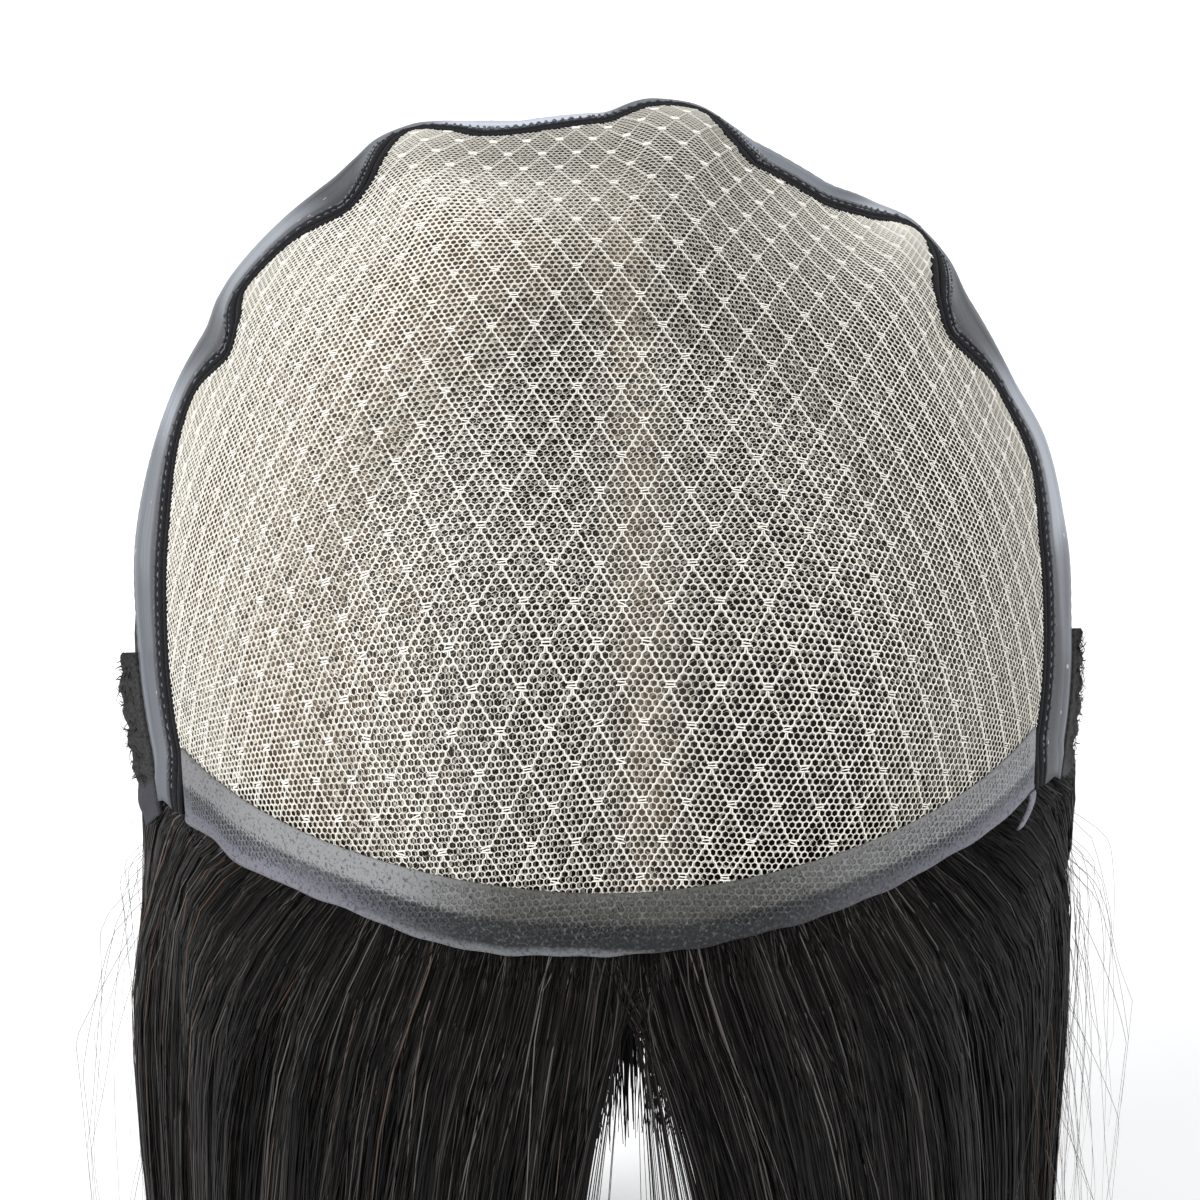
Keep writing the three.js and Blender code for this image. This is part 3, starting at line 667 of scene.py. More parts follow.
def net_cells(inside_of, shift):
    """Flat places of the net's cells that pass a test, and a grid of their numbers."""
    x, y, odd = staggered(NET_COLUMNS, NET_ROWS, CELL, ROW)
    x, y = x + shift[0], y + shift[1]
    inside = inside_of(x, y)
    number = np.full(x.shape, -1)
    number[inside] = np.arange(inside.sum())
    return x[inside], y[inside], number, odd


def on_lace_side(margin):
    """A test of whether flat places lie on the lace, or within a margin of it."""
    def test(x, y):
        polar, clock = lay(x, y)
        return polar < lace_polar(clock) + margin

    return test


def neighbours(number, odd):
    """Numbers of the cells to the right, up right and up left of each cell, or -1."""
    padded = np.pad(number, 2, constant_values=-1)
    i, j = np.nonzero(number >= 0)
    o = odd[i, j]
    right = padded[i + 3, j + 2]
    up_right = padded[i + 2 + o, j + 3]
    up_left = padded[i + 1 + o, j + 3]
    return right, up_right, up_left


CELL_X = np.array([0, 0.5, 0.5, 0, -0.5, -0.5]) * CELL
CELL_Y = np.array([1, 0.5, -0.5, -1, -0.5, 0.5]) * CORNER


def net_faces(number, odd, corners):
    """Faces of the strands between neighbour cells, and of the corners where strands meet."""
    right, up_right, up_left = neighbours(number, odd)
    own = np.arange(len(right)) * 6
    quads, tris = [], []
    for other, (a, b, c, d) in ((right, (1, 5, 4, 2)), (up_right, (0, 4, 3, 1)), (up_left, (5, 3, 2, 0))):
        faces = np.stack([own + a, other * 6 + b, other * 6 + c, own + d], -1)
        quads.append(faces[other >= 0])
    if not corners:
        return np.concatenate(quads), ()
    for first, second, (a, b, c) in ((up_left, up_right, (0, 2, 4)), (up_right, right, (1, 3, 5))):
        faces = np.stack([own + a, first * 6 + b, second * 6 + c], -1)
        tris.append(faces[(first >= 0) & (second >= 0)])
    return np.concatenate(quads), np.concatenate(tris)


def on_lace(x, y, depth):
    polar, clock = lay(x, y)
    return dome(polar, clock, depth)


def lining_and_left_light(points):
    """How close a pale lining lies behind the lace: on the left, and farther in at the top. The same mask
    also paints light onto the left side of the lace.
    """
    x, y = points[..., 0], points[..., 1]
    inward = LINING_AND_LIGHT_TOP * (smoothstep(-50, -5, y) - 0.8 * smoothstep(2, 20, y))
    return smoothstep(9, 58, inward - x)


def yarn_lining_and_light(points):
    """How light the upper yarns are: lightest near the lining, which is partly painted light, and on the
    right, where the lightness is painted light.
    """
    return np.maximum(lining_and_left_light(points), smoothstep(15, 55, points[..., 0]))


def make_net(name, depth, shift, loose, rim, slim, material, tone, replaces=(), corners=True):
    """A net of uneven cells, its strands wide by the lining and slim on other slanted parts."""
    x, y, number, odd = net_cells(on_lace_side(0.5), shift)
    near = lining_and_left_light(on_lace(x, y, depth))
    strand = NET_STRAND + smoothstep(28, 66, lay(x, y)[0]) * (rim * near - slim * (1 - near))
    points = net_corners(x, y, strand, loose, depth)
    quads, tris = net_faces(number, odd, corners)
    add_piece(name, points, quads, tris, material, "lace", replaces, blend=tone(points))


def net_corners(x, y, strand, loose, depth):
    """Corner points of the holes of a net, which sit a little unevenly, as knitted ones do."""
    x = x + RNG.normal(0, loose, len(x))
    y = y + RNG.normal(0, loose, len(y))
    inner = ((1 - strand / CELL) * RNG.normal(1, 0.05, len(x)))[:, None]
    return on_lace(x[:, None] + CELL_X * inner, y[:, None] + CELL_Y * inner, depth).reshape(-1, 3)


def make_net_depth(name, low, high, material):
    """Upright sides of the net's strands, which close the net on its slanted parts."""
    def inside_of(x, y):
        return on_lace_side(0.3)(x, y) & (lay(x, y)[0] > SIDES_FROM)

    x, y, number, odd = net_cells(inside_of, (0, 0))
    right, up_right, up_left = neighbours(number, odd)
    points = []
    for has, first, second in ((right, 1, 2), (up_right, 0, 1), (up_left, 5, 0)):
        ok = has >= 0
        ends = []
        for corner in (first, second):
            for depth in (low, high):
                ends.append(on_lace(x[ok] + CELL_X[corner], y[ok] + CELL_Y[corner], depth))
        points.append(np.stack([ends[0], ends[1], ends[3], ends[2]], 1).reshape(-1, 3))
    points = np.concatenate(points)
    quads = np.arange(len(points)).reshape(-1, 4)
    add_piece(name, points, quads, (), material, "lace", smooth=False, blend=yarn_lining_and_light(points))


def roof(x0, y0, x1, y1, width, ridge, depth):
    """Raised yarn pieces between pairs of flat points: a ridge with two sloping sides."""
    dx, dy = x1 - x0, y1 - y0
    length = np.hypot(dx, dy)
    nx, ny = -dy / length * width / 2, dx / length * width / 2
    ex, ey = dx / length * width * 0.3, dy / length * width * 0.3
    corners = []
    for side, up in ((-1, 0), (0, ridge), (1, 0)):
        corners.append(on_lace(x0 - ex + side * nx, y0 - ey + side * ny, depth - up))
        corners.append(on_lace(x1 + ex + side * nx, y1 + ey + side * ny, depth - up))
    points = np.stack(corners, 1).reshape(-1, 3)
    base = np.arange(len(x0)) * 6
    quads = np.concatenate([
        np.stack([base, base + 1, base + 3, base + 2], -1),
        np.stack([base + 2, base + 3, base + 5, base + 4], -1),
    ])
    return points, quads


def pattern_yarns(kx, ky):
    """Thicker yarns along the cells from knot to knot."""
    lines = []
    for side in (1, -1):
        for step in range(CELLS_PER_DIAMOND - 1):
            x, y = kx + side * step * CELL / 2, CORNER + step * ROW
            corners = []
            for across, along in ((x, y), (x, y + CORNER), (x + side * CELL / 2, y + ROW)):
                straight = kx + side * along / ROW * CELL / 2
                corners.append((across + STRAIGHTEN * (straight - across), ky + along))
            lines.append((*corners[0], *corners[1]))
            lines.append((*corners[1], *corners[2]))
    ends = np.concatenate(lines, 1)
    ok = on_lace_side(-0.15)((ends[0] + ends[2]) / 2, (ends[1] + ends[3]) / 2)
    x0, y0, x1, y1 = ends[:, ok]
    far = smoothstep(*FAR_LACE, on_lace(x0, y0, PATTERN_DEPTH)[:, 1])
    width = PATTERN_WIDTH * (1 - PATTERN_SLIM * smoothstep(18, 58, np.abs(x0))) * (1 - FAR_SLIM * far)
    return roof(x0, y0, x1, y1, width, PATTERN_RIDGE, PATTERN_DEPTH)


def knot_bars(kx, ky, knots):
    """The three bars of each knot."""
    width = BAR_WIDTH * (1 + 0.4 * lining_and_left_light(knots)) * (1 - FAR_SLIM * smoothstep(*FAR_LACE, knots[:, 1]))
    bars = []
    for step in (-1, 0, 1):
        y = ky + step * BAR_PITCH + RNG.normal(0, 0.03, len(ky))
        tip = RNG.normal(0, 0.09, len(ky))
        half = BAR_HALF * (0.75 if step == 0 else 1)
        bars.append(roof(kx - half, y - tip, kx + half, y + tip, width, BAR_RIDGE, BAR_DEPTH))
    return bars


def make_pattern():
    """Diamond pattern of the lace: raised yarns, with a knot of bars at each crossing."""
    x, y, _ = staggered(KNOT_COLUMNS, KNOT_ROWS, DIAMOND_ACROSS, DIAMOND_ALONG)
    kx, ky = x.ravel(), y.ravel()
    yarns = pattern_yarns(kx, ky)
    ok = on_lace_side(-0.7)(kx, ky)
    knots = on_lace(kx[ok], ky[ok], BAR_DEPTH)
    bars = knot_bars(kx[ok], ky[ok], knots)
    points, quads = join(yarns, *bars)
    # Knots are lighter than the lines, and lighter still by the lining on the left, which is partly painted
    # light
    knot_tone = np.repeat(0.65 + 0.35 * lining_and_left_light(knots), len(bars[0][0]) // len(knots))
    blend = np.concatenate([0.75 * yarn_lining_and_light(yarns[0]), np.tile(knot_tone, len(bars))])
    add_piece("lace_pattern", points, quads, (), PATTERN, "lace", blend=blend)


# Band, cords, tape and dark cloth
def face_point(x, height, depth):
    """Points on the front of the head form, a depth below its face."""
    across, up = x / HALF_WIDTH, height / rise_at(height)
    forward = -np.sqrt(1 - across * across - up * up)
    return form_point(np.stack(np.broadcast_arrays(across, forward, up), -1), -depth)


def band_edges(x):
    """Heights of the upper and lower edges of the band."""
    return front_height(LACE_FRONT, x) + BAND_LAP, front_height(BAND_FRONT, x) + BAND_WAVE(x)


def band_values(x, share, bright):
    """Point values of the band's material: the woven rim shows on the left half only."""
    return {
        "across": share * (1 - 0.15 * smoothstep(-6, 8, x)),
        "end": np.where(x < 0, smoothstep(15, 37, -x), 0.8 * smoothstep(10, 56, x)),
        "fold": np.where(x < 0, smoothstep(18, 56, -x), 0.95 * smoothstep(14, 60, x)),
        "bright": bright * (1 - 0.22 * smoothstep(52, 63, -x) + 0.16 * smoothstep(48, 62, x)),
    }


def make_band():
    """Coated band over the front of the lace, with the small loose strap at its right end."""
    steps, rows = BAND_GRID
    x = np.linspace(BAND_LEFT, BAND_RIGHT, steps)[:, None]
    share = np.linspace(0, 1, rows)[None]
    top, low = band_edges(x)
    low = low + 0.12 * np.sin(x / 2.3) + 0.1 * np.sin(x / 1.1 + 1.3)
    height = top + (low - top) * share
    curl = 0.35 * smoothstep(0.86, 1.0, share) + 0.1 * np.sin(x / 4.1) * share
    round_off = 0.35 * smoothstep(0.95, 1, share)
    under = np.minimum(BAND_THICKNESS - 0.2 - curl, 0.05 + 6 * share) - round_off * 0.5
    outer = face_point(x, height, -0.25 - curl + round_off)
    strap = strap_mesh()
    points, quads = join(shell(outer, face_point(x, height, under)), strap)
    across = np.concatenate([wall_values(share, height.shape), np.full(len(strap[0]), 0.95)])
    along = np.concatenate([wall_values(x, height.shape), np.full(len(strap[0]), BAND_RIGHT)])
    values = band_values(along, across, np.full(len(points), BAND_SHADE))
    add_piece("front_band_coated", points, quads, (), BAND, "front_band", ("front_band",), **values)


def strap_mesh():
    """Small loose strap that hangs off the band."""
    steps, rows = STRAP_GRID
    k = np.linspace(0, 1, steps)[:, None]
    side = np.linspace(-0.5, 0.5, rows)[None]
    x = TAIL_TO - 0.3 - 2.7 * k * k + side * 1.15
    height = front_height(BAND_FRONT, TAIL_TO) + 1.7 - 2.8 * k - 0.7 * side
    lift_off = 0.5 + 0.4 * np.sin(k * 2.2)
    outer = face_point(x, height, -lift_off - 0.25)
    inner = face_point(x, height, -lift_off + 0.15)
    return shell(outer, inner)


def band_place(points):
    """Place of points on the band: across the head, and as a share of the band's height."""
    x, height = points[..., 0], points[..., 2] - CENTRE_Z
    top, low = band_edges(x)
    return x, (top - height) / (top - low)


def make_band_net():
    """Net of the lace, which shows in low relief through the coat of the band."""
    def inside_of(x, y):
        at, share = band_place(on_lace(x, y, 0))
        front = (np.abs(lay(x, y)[1] - 180) > 90) & (at > BAND_LEFT + 1) & (at < BAND_RIGHT - 1)
        smooth = (at < -28) & (share < 0.36)
        return front & (share > 0.04) & (share < 0.8) & ~smooth

    x, y, number, odd = net_cells(inside_of, (0, 0))
    points = net_corners(x, y, BAND_NET_STRAND, BAND_NET_LOOSE, BAND_NET_DEPTH)
    quads, tris = net_faces(number, odd, True)
    along, across = band_place(points)
    smooth_end = np.where(along < 0, smoothstep(14, 34, -along), 0.5 * smoothstep(20, 50, along))
    shown = 1 - smooth_end * (1 - np.exp(-((across - 0.55) / 0.1) ** 2))
    values = band_values(along, across, BAND_SHADE + 0.35 * shown)
    add_piece("front_band_net", points, quads, tris, BAND, "front_band", **values)


def rim_frame(clock):
    """Points of the lace edge with the directions out of the surface and away from the lace."""
    step = 0.3
    polar = EDGE(clock)
    point = dome(polar, clock, 0)
    tangent = unit(dome(EDGE(clock + step), clock + step, 0) - dome(EDGE(clock - step), clock - step, 0))
    inward = dome(polar - step, clock, 0) - point
    normal = unit(np.cross(inward, tangent))
    normal *= np.sign(np.sum(normal * direction(polar, clock), -1, keepdims=True))
    out = unit(np.cross(tangent, normal))
    out *= -np.sign(np.sum(out * inward, -1, keepdims=True))
    return point, tangent, normal, out


def edge_clocks(count):
    """Clock angles at equal lengths along the lace edge from tape end to tape end."""
    clock = np.linspace(FIRST_CLOCK, LAST_CLOCK, 2400)
    point = dome(EDGE(clock), clock, 0)
    length = np.concatenate([[0], np.cumsum(np.linalg.norm(np.diff(point, axis=0), axis=1))])
    return np.interp(np.linspace(0, length[-1], count), length, clock), length[-1]


def cord_path(count, distance, depth):
    """Path at a distance outside the lace edge, with its directions and length."""
    clock, length = edge_clocks(count)
    point, tangent, normal, out = rim_frame(clock)
    polar, turn = angles_of(point + out * distance)
    path = dome(polar, turn, depth)
    return path, tangent, normal, out, length


def make_cord(name, node, distance, radius):
    """Twisted cord that lies along the lace edge at a distance outside it."""
    path, _, normal, out, length = cord_path(CORD_STEPS, distance, LACE_THICKNESS / 2)
    along = np.linspace(0, length, len(path))
    swollen = radius * (1 + 0.035 * np.sin(along * 2 * math.pi / 1.3))
    points, quads, tris = tube(path, out, normal * CORD_FLAT, swollen, CORD_SIDES)
    add_piece(name, points, quads, tris, CORD, "cord", (node,))


def make_stitches(name, distance, depth, half, thick):
    """A row of pale running stitches at a distance outside the lace edge."""
    path, tangent, normal, out, length = cord_path(STITCHES, distance, depth)
    tubes = []
    k = np.linspace(-1, 1, 5)[:, None]
    radius = thick * np.sqrt(1.02 - k[:, 0] ** 2)
    for i in range(2, len(path) - 2):
        lean = RNG.normal(0.0, 0.2)
        reach = length / STITCHES * half * RNG.uniform(0.7, 1.15)
        line = path[i] - normal[i] * thick * k * k + (tangent[i] + out[i] * lean) * reach * k
        spokes = np.repeat(out[i][None], 5, 0), np.repeat(normal[i][None], 5, 0)
        tubes.append(tube(line, *spokes, radius, 5))
    points, quads = join(*[(ring, faces) for ring, faces, _ in tubes])
    _, tris = join(*[(ring, caps) for ring, _, caps in tubes])
    add_piece(name, points, quads, tris, STITCH, "cord")


def between(clock, first, last):
    """1 between two clock angles and 0 outside them, with soft ends."""
    return smoothstep(first - 2.5, first + 2.5, clock) * smoothstep(last + 2.5, last - 2.5, clock)


def painted_tape_sheen(clock):
    """Lightness of the tape, with painted highlights on the crests and at the top and painted shade in the
    side dips.
    """
    return TAPE_BASE * (1 + sum(gain * between(clock, first, last) for first, last, gain in TAPE_SHEEN))


def make_tape():
    """Folded tape outside the cords, with a fine serrated outer edge."""
    steps, rows = TAPE_GRID
    clock, length = edge_clocks(steps)
    point, _, _, out = rim_frame(clock)
    near_polar, near_clock = angles_of(point + out * TAPE_OUT)
    share = np.linspace(0, 1, rows)[None]
    polar = near_polar[:, None] + (TAPE(clock) - near_polar)[:, None] * share
    turn = near_clock[:, None] + (clock - near_clock)[:, None] * share
    cut = smoothstep(FIRST_CLOCK + 7, FIRST_CLOCK, clock) - smoothstep(LAST_CLOCK - 7, LAST_CLOCK, clock)
    turn = turn + TAPE_CUT * cut[:, None] * share
    belly = 0.45 * np.sin(math.pi * share) - 0.4 * np.exp(-((share - 0.82) / 0.07) ** 2)
    serration = 0.16 * np.cos(np.arange(steps) * math.pi)[:, None] * smoothstep(0.9, 1, share)
    outer = dome(polar + serration, turn, belly - 0.1)
    inner = dome(polar + serration, turn, TAPE_THICKNESS)
    points, quads = shell(outer, inner)
    wide = LANE_WIDTH - LANE_TOP_LESS * between(clock, 176, 200) + LANE_END_MORE * smoothstep(100, 86, clock)
    values = {
        "across": share,
        "along": np.linspace(0, length, steps)[:, None],
        # where the painted shade lies beside the cord
        "lane": share / wide[:, None],
        # painted sheen and shade along the rim
        "tone": painted_tape_sheen(clock)[:, None],
    }
    values = {key: wall_values(value, polar.shape) for key, value in values.items()}
    add_piece("grip_tape_smooth", points, quads, (), TAPE_COAT, "tape", ("grip_tape",), **values)


def hem_polar(clock):
    """Angle from the lace's middle at which the back cap ends."""
    def over_hem(polar):
        p = dome(polar, clock, CAP_DEPTH)
        return p[:, 2] - CENTRE_Z - HEM_AT_EARS + HEM_FALL * (p[:, 1] - HEM_EARS_Y)

    return solve_polar(over_hem, np.full(len(clock), 60), np.full(len(clock), 179))


def make_back_cap():
    """Back of the cap in dark stretch cloth, with the low ridges of its sewn rows."""
    steps, rows = CAP_GRID
    clock = np.linspace(FIRST_CLOCK + 1, LAST_CLOCK - 1, steps)
    share = np.linspace(0, 1, rows)[None]
    top = (TAPE(clock) - 2)[:, None]
    polar = top + (hem_polar(clock)[:, None] - top) * share
    level = dome(polar, clock[:, None], CAP_DEPTH)[..., 2]
    from_row = np.mod(level, CAP_ROW_PITCH) - CAP_ROW_PITCH / 2
    ridge = CAP_ROW_RISE * np.exp(-(from_row / CAP_ROW_HALF) ** 2) * smoothstep(0.1, 0.16, share)
    hem = 0.3 * smoothstep(0.94, 0.97, share)
    outer = dome(polar, clock[:, None], CAP_DEPTH - ridge - hem)
    inner = dome(polar, clock[:, None], CAP_DEPTH + CAP_THICKNESS)
    points, quads = shell(outer, inner)
    add_piece("back_cap_cloth", points, quads, (), DARK_CLOTH, "dark_cloth", ("back_cap",))


def tab_threads(t, clock, reach, flare, coat_from):
    """Loose threads along the torn edge of an ear tab."""
    at = RNG.uniform(0.02, coat_from, TAB_THREADS)
    root = RNG.uniform(0.35, 1.0, TAB_THREADS)
    length = RNG.uniform(0.8, 2.4, TAB_THREADS)
    turn = np.interp(at, t, clock)
    base = TAPE(turn) + GAP * TAB_DEGREE + np.interp(at, t, reach) * TAB_DEGREE * root
    k = np.linspace(0, 1, 4)
    bend = RNG.normal(0, 1.2, TAB_THREADS)
    path = dome(
        base[:, None] + length[:, None] * TAB_DEGREE * k,
        turn[:, None] + bend[:, None] * k * k,
        -0.45 - flare * root[:, None] - draw(0.1, 0.9, TAB_THREADS) * k,
    )
    return ribbons(path, flat_sides(path, unit(path - HEAD_MIDDLE)), 0.28 * (1 - 0.6 * k))


def make_ear_tab(side):
    """Frayed cloth at a tape end, with loose threads along its torn edge."""
    start, end, flare, coat_from, teeth = EAR_TABS[side]
    steps, rows = TAB_GRID
    t = np.linspace(0, 1, steps)
    clock = start + (end - start) * t
    reach = np.interp(t * (len(teeth) - 1), np.arange(len(teeth)), teeth)
    coat = smoothstep(coat_from, coat_from + 0.06, t)
    reach = reach * 1.05 + (0.45 * np.sin(t * 90) + RNG.normal(0, 0.25, steps)) * (1 - coat)
    share = np.linspace(0, 1, rows)[None]
    polar = (TAPE(clock) + GAP * TAB_DEGREE)[:, None] + reach[:, None] * TAB_DEGREE * share
    wave = 0.25 * np.sin(t * 37)[:, None] * share
    outer = dome(polar, clock[:, None], -0.4 - flare * share - wave)
    inner = dome(polar, clock[:, None], 0.6 - flare * share - wave)
    threads = tab_threads(t, clock, reach, flare, coat_from)
    points, quads = join(shell(outer, inner), threads)
    coated = np.concatenate([wall_values(coat[:, None], polar.shape), np.zeros(len(threads[0]))])
    name = f"ear_tab_{side}"
    add_piece(f"{name}_frayed", points, quads, (), TAB_CLOTH, "dark_cloth", (name,), coat=coated)


# Hair
def fold_turn(around):
    """Angle from the front, the same on both sides of the head."""
    turn = np.mod(around, 360)
    return np.abs(np.where(turn > 180, turn - 360, turn))


def parting_half(height):
    """Half width of the parting at a height."""
    below = PART_SOFT * np.logaddexp(0, (PART_TOP - height) / PART_SOFT)
    return PART_HALF * (1 - np.exp(-below / PART_OVER))


def panel_angle(panel, share, height, inset=0):
    """Angle round the head of a share of a panel: the front edges follow the parting."""
    start, end, _ = PANELS[panel]
    if start == 0:
        opening = GAP + parting_half(height) * PART_OPENING[panel] + inset
        start = np.sign(end) * np.degrees(np.arcsin(opening / HALF_WIDTH))
    return start + (end - start) * share


def rim_narrow(level):
    """Share of the head's full size at a level."""
    return np.sqrt(1 - (level / (rise_at(level) - HAIR_DEPTH)) ** 2)


def hair_at(around, height, narrow, out):
    """Points at an angle round the head and a height, an outward reach beyond the hair's own layer."""
    a = np.radians(around)
    return np.stack([
        np.sin(a) * ((HALF_WIDTH - HAIR_DEPTH) * narrow + out),
        -np.cos(a) * ((HALF_LENGTH - HAIR_DEPTH) * narrow + out),
        height + CENTRE_Z,
    ], -1)


def curtain(around, below):
    """Narrowing and outward reach of the hair at a drop below the rim."""
    turn = fold_turn(around)
    rim = rim_narrow(LEVEL(turn))
    share = np.clip(below / FLARE_OVER, 0, 1)
    flare = HAIR_FLARE * smoothstep(0, 1, share) * share
    narrow = rim + (1 - rim) * smoothstep(0, NAPE_FILL_OVER, below)
    return narrow, SWELL(turn) * smoothstep(0, HAIR_SWELL_OVER, below), flare


def lock_groove(panel, share):
    """How deep the groove between locks is at a place on a panel."""
    return np.abs(np.cos(math.pi * share * PANELS[panel][2])) ** 5


def nape_share(panel, share):
    """How near a place on a panel is to the nape, where the hair is thinnest."""
    if panel != "back":
        return np.zeros_like(share)
    return smoothstep(0, 0.35, np.minimum(share, 1 - share))


def form_crown(panel, share, level):
    """Points and heights of a hair body under the cap, from the crown to the rim."""
    last = np.degrees(np.arccos(level / (rise_at(level) - HAIR_DEPTH)))
    step = np.linspace(0, 1, CROWN_ROWS)[None]
    angle = CROWN_START + (last - CROWN_START)[:, None] * step
    a = np.radians(angle)
    height = (rise_at(90 - angle) - HAIR_DEPTH) * np.cos(a)
    around = panel_angle(panel, share[:, None], height, CROWN_CLOSE)
    crown = hair_at(around, height, np.sin(a), 0)
    near_cloth = (CROWN_LIFT + lift(*angles_of(crown))) * (1 - smoothstep(0.7, 1, step))
    return crown + unit(crown - HEAD_MIDDLE) * near_cloth[..., None], height


def form_fall(panel, share, middle, level):
    """Points and heights of a hair body below the rim, in locks with jagged tips."""
    groove = lock_groove(panel, share)
    short = FORM_SHORT + (NAPE_SHORT - FORM_SHORT) * nape_share(panel, share)
    jag = FORM_JAG * (np.mod(GOLDEN * np.arange(len(share)), 1) - 0.4)
    tip = HAIR_HEM + short + groove * LOCK_TIP + jag
    step = np.linspace(0, 1, FALL_ROWS + 1)[1:][None]
    drop = (level - tip)[:, None] * step ** 1.3
    low = level[:, None] - drop
    narrow, swollen, flare = curtain(middle[:, None], drop)
    turn = fold_turn(middle)[:, None]
    swollen = np.minimum(swollen, SWELL(turn) * swell_share(turn, drop))
    bed = STRAND_BED * smoothstep(0, HAIR_SWELL_OVER, drop)
    out = swollen + flare - bed - groove[:, None] * LOCK_DEPTH * smoothstep(0, LOCK_OVER, drop)
    inset = FORM_INSET * smoothstep(0, 30, drop)
    return hair_at(panel_angle(panel, share[:, None], low, inset), low, narrow, out), low


def silk_share(points):
    """How much pale silk shows through the lace: along the parting and near the sides, where on the left it
    is partly painted light.
    """
    x, y, z = points.T
    parting = 0.42 * np.exp(-((x - 3) / 4.5) ** 2) * smoothstep(40, 10, y)
    sides = 0.62 * lining_and_left_light(points) + 0.08 * smoothstep(30, 66, x)
    return (parting + sides) * smoothstep(CENTRE_Z - 5, CENTRE_Z + 12, z)


def make_hair_form(panel):
    """Body of a hair panel, from the crown under the cap to the tips."""
    start, end, locks = PANELS[panel]
    share = np.linspace(0, 1, locks * 8 + 1)
    middle = start + (end - start) * share
    level = LEVEL(fold_turn(middle))
    crown, high = form_crown(panel, share, level)
    hang, low = form_fall(panel, share, middle, level)
    outer = np.concatenate([crown, hang], 1)
    heights = np.concatenate([high, low], 1)
    axis = np.zeros(outer.shape)
    axis[..., 2] = CENTRE_Z + np.minimum(0, heights)
    points, quads = shell(outer, outer + unit(axis - outer) * HAIR_THICKNESS)
    values = {
        "around": wall_values(middle[:, None], heights.shape),
        "fall": wall_values(CROWN_RISE - heights, heights.shape),
        "silk": silk_share(points),
    }
    name = f"hair_{panel}"
    add_piece(f"{name}_form", points, quads, (), UNDER_HAIR, "hair", (name,), **values)


def at_side(root_turn):
    """How far a root is round to the side of the head."""
    return smoothstep(44, 64, root_turn)


def swell_share(root_turn, drop):
    """Share of the swell that strands have reached at a drop below their roots."""
    side = at_side(root_turn) * smoothstep(113, 97, root_turn)
    over = STRAND_SWELL_FRONT + (STRAND_SWELL_SIDE - STRAND_SWELL_FRONT) * side
    return 1 - np.exp(-(np.maximum(drop, 0) / over) ** (1.2 + side))


def strand_reach(around, root_turn, height, drop):
    """Narrowing and outward reach of strands at a drop below their roots."""
    turn = fold_turn(around)
    below = np.maximum(0, LEVEL(turn) - height)
    narrow, _, flare = curtain(around, below)
    side = at_side(root_turn)
    root = ROOT_OUT(root_turn) + SIDE_LIFT * side * (1 - np.exp(-np.maximum(drop, 0) / 4))
    return narrow, root + (SWELL(turn) * (1 - 0.04 * side) - root) * swell_share(root_turn, drop) + flare


def side_outline(panel, root_turn, drop):
    """Small changes to the outline of the hair at each side, by the drop below the roots."""
    side = at_side(root_turn)
    if panel == "left":
        return LEFT_FULLER * side * (smoothstep(50, 66, drop) - smoothstep(100, 135, drop))
    if panel == "right":
        lifted = RIGHT_LIFT * smoothstep(0, 8, drop) * smoothstep(44, 20, drop)
        return side * (lifted - RIGHT_TRIM * (smoothstep(30, 50, drop) - smoothstep(54, 84, drop)))
    return 0


def strand_clumps(low_share, clumps):
    """Middle, outward place and drift of the clump that each strand is in."""
    clump = np.floor(low_share * clumps + RNG.normal(0, CLUMP_MIX, len(low_share)))
    clump = np.clip(clump, 0, clumps - 1).astype(int)
    out = RNG.normal(0, CLUMP_OUT, clumps)[clump][:, None]
    drift = RNG.normal(0, CLUMP_DRIFT, clumps)[clump][:, None]
    return ((clump + 0.5) / clumps)[:, None], out, drift


def strand_tips(panel, low_share):
    """Heights of the tips: close to the hem at the sides, thinning out at the nape."""
    nape = nape_share(panel, low_share)
    below, ragged, thinning = SIDE_TIPS[:, None] + (NAPE_TIPS - SIDE_TIPS)[:, None] * nape
    return HAIR_HEM - below + ragged * RNG.uniform(0, 1, len(low_share)) ** thinning


def add_strands(name, path, sides, width, tint):
    """Strands along paths, each with a tone of its own."""
    points, quads = ribbons(path, sides, width)
    add_piece(name, points, quads, (), HAIR, "hair", tint=np.repeat(tint, path.shape[1] * 2))


def strand_place(root_share, low_place, clump_drift, drop, k):
    """Share of the panel at which each strand lies, swept from its root to its low place."""
    strands = len(drop)
    place = root_share + (low_place - root_share) * (1 - np.exp(-drop / SWEEP_OVER))
    drift = clump_drift + spread(STRAND_DRIFT, strands)
    place = place + drift * smoothstep(0, 90, drop) + spread(STRAND_DRIFT, strands) * k ** 3
    place = place + spread(ROOT_SCATTER, strands) * (1 - np.exp(-drop / 7)) * np.exp(-drop / 26)
    feather = np.abs(spread(FEATHER, strands)) * smoothstep(8, 40, drop)
    return np.clip(place, 0.0015 + feather, 0.9985)


def strand_layer(panel, place, clump_out, drop, k):
    """Outward place of each strand among the others, lower in the grooves between locks."""
    strands = len(drop)
    settle = smoothstep(3, 45, drop)
    wave = STRAND_WAVE * np.sin(k * 9 + draw(0, 6.28, strands))
    lock = lock_groove(panel, place) * LOCK_DEPTH * smoothstep(0, LOCK_OVER, drop)
    deep = np.minimum(RNG.gamma(1.3, 0.8, strands), STRAND_BED)[:, None]
    layer = STRAND_LAYER - deep + (clump_out + wave) * settle - lock
    return layer * (0.2 + 0.8 * settle)


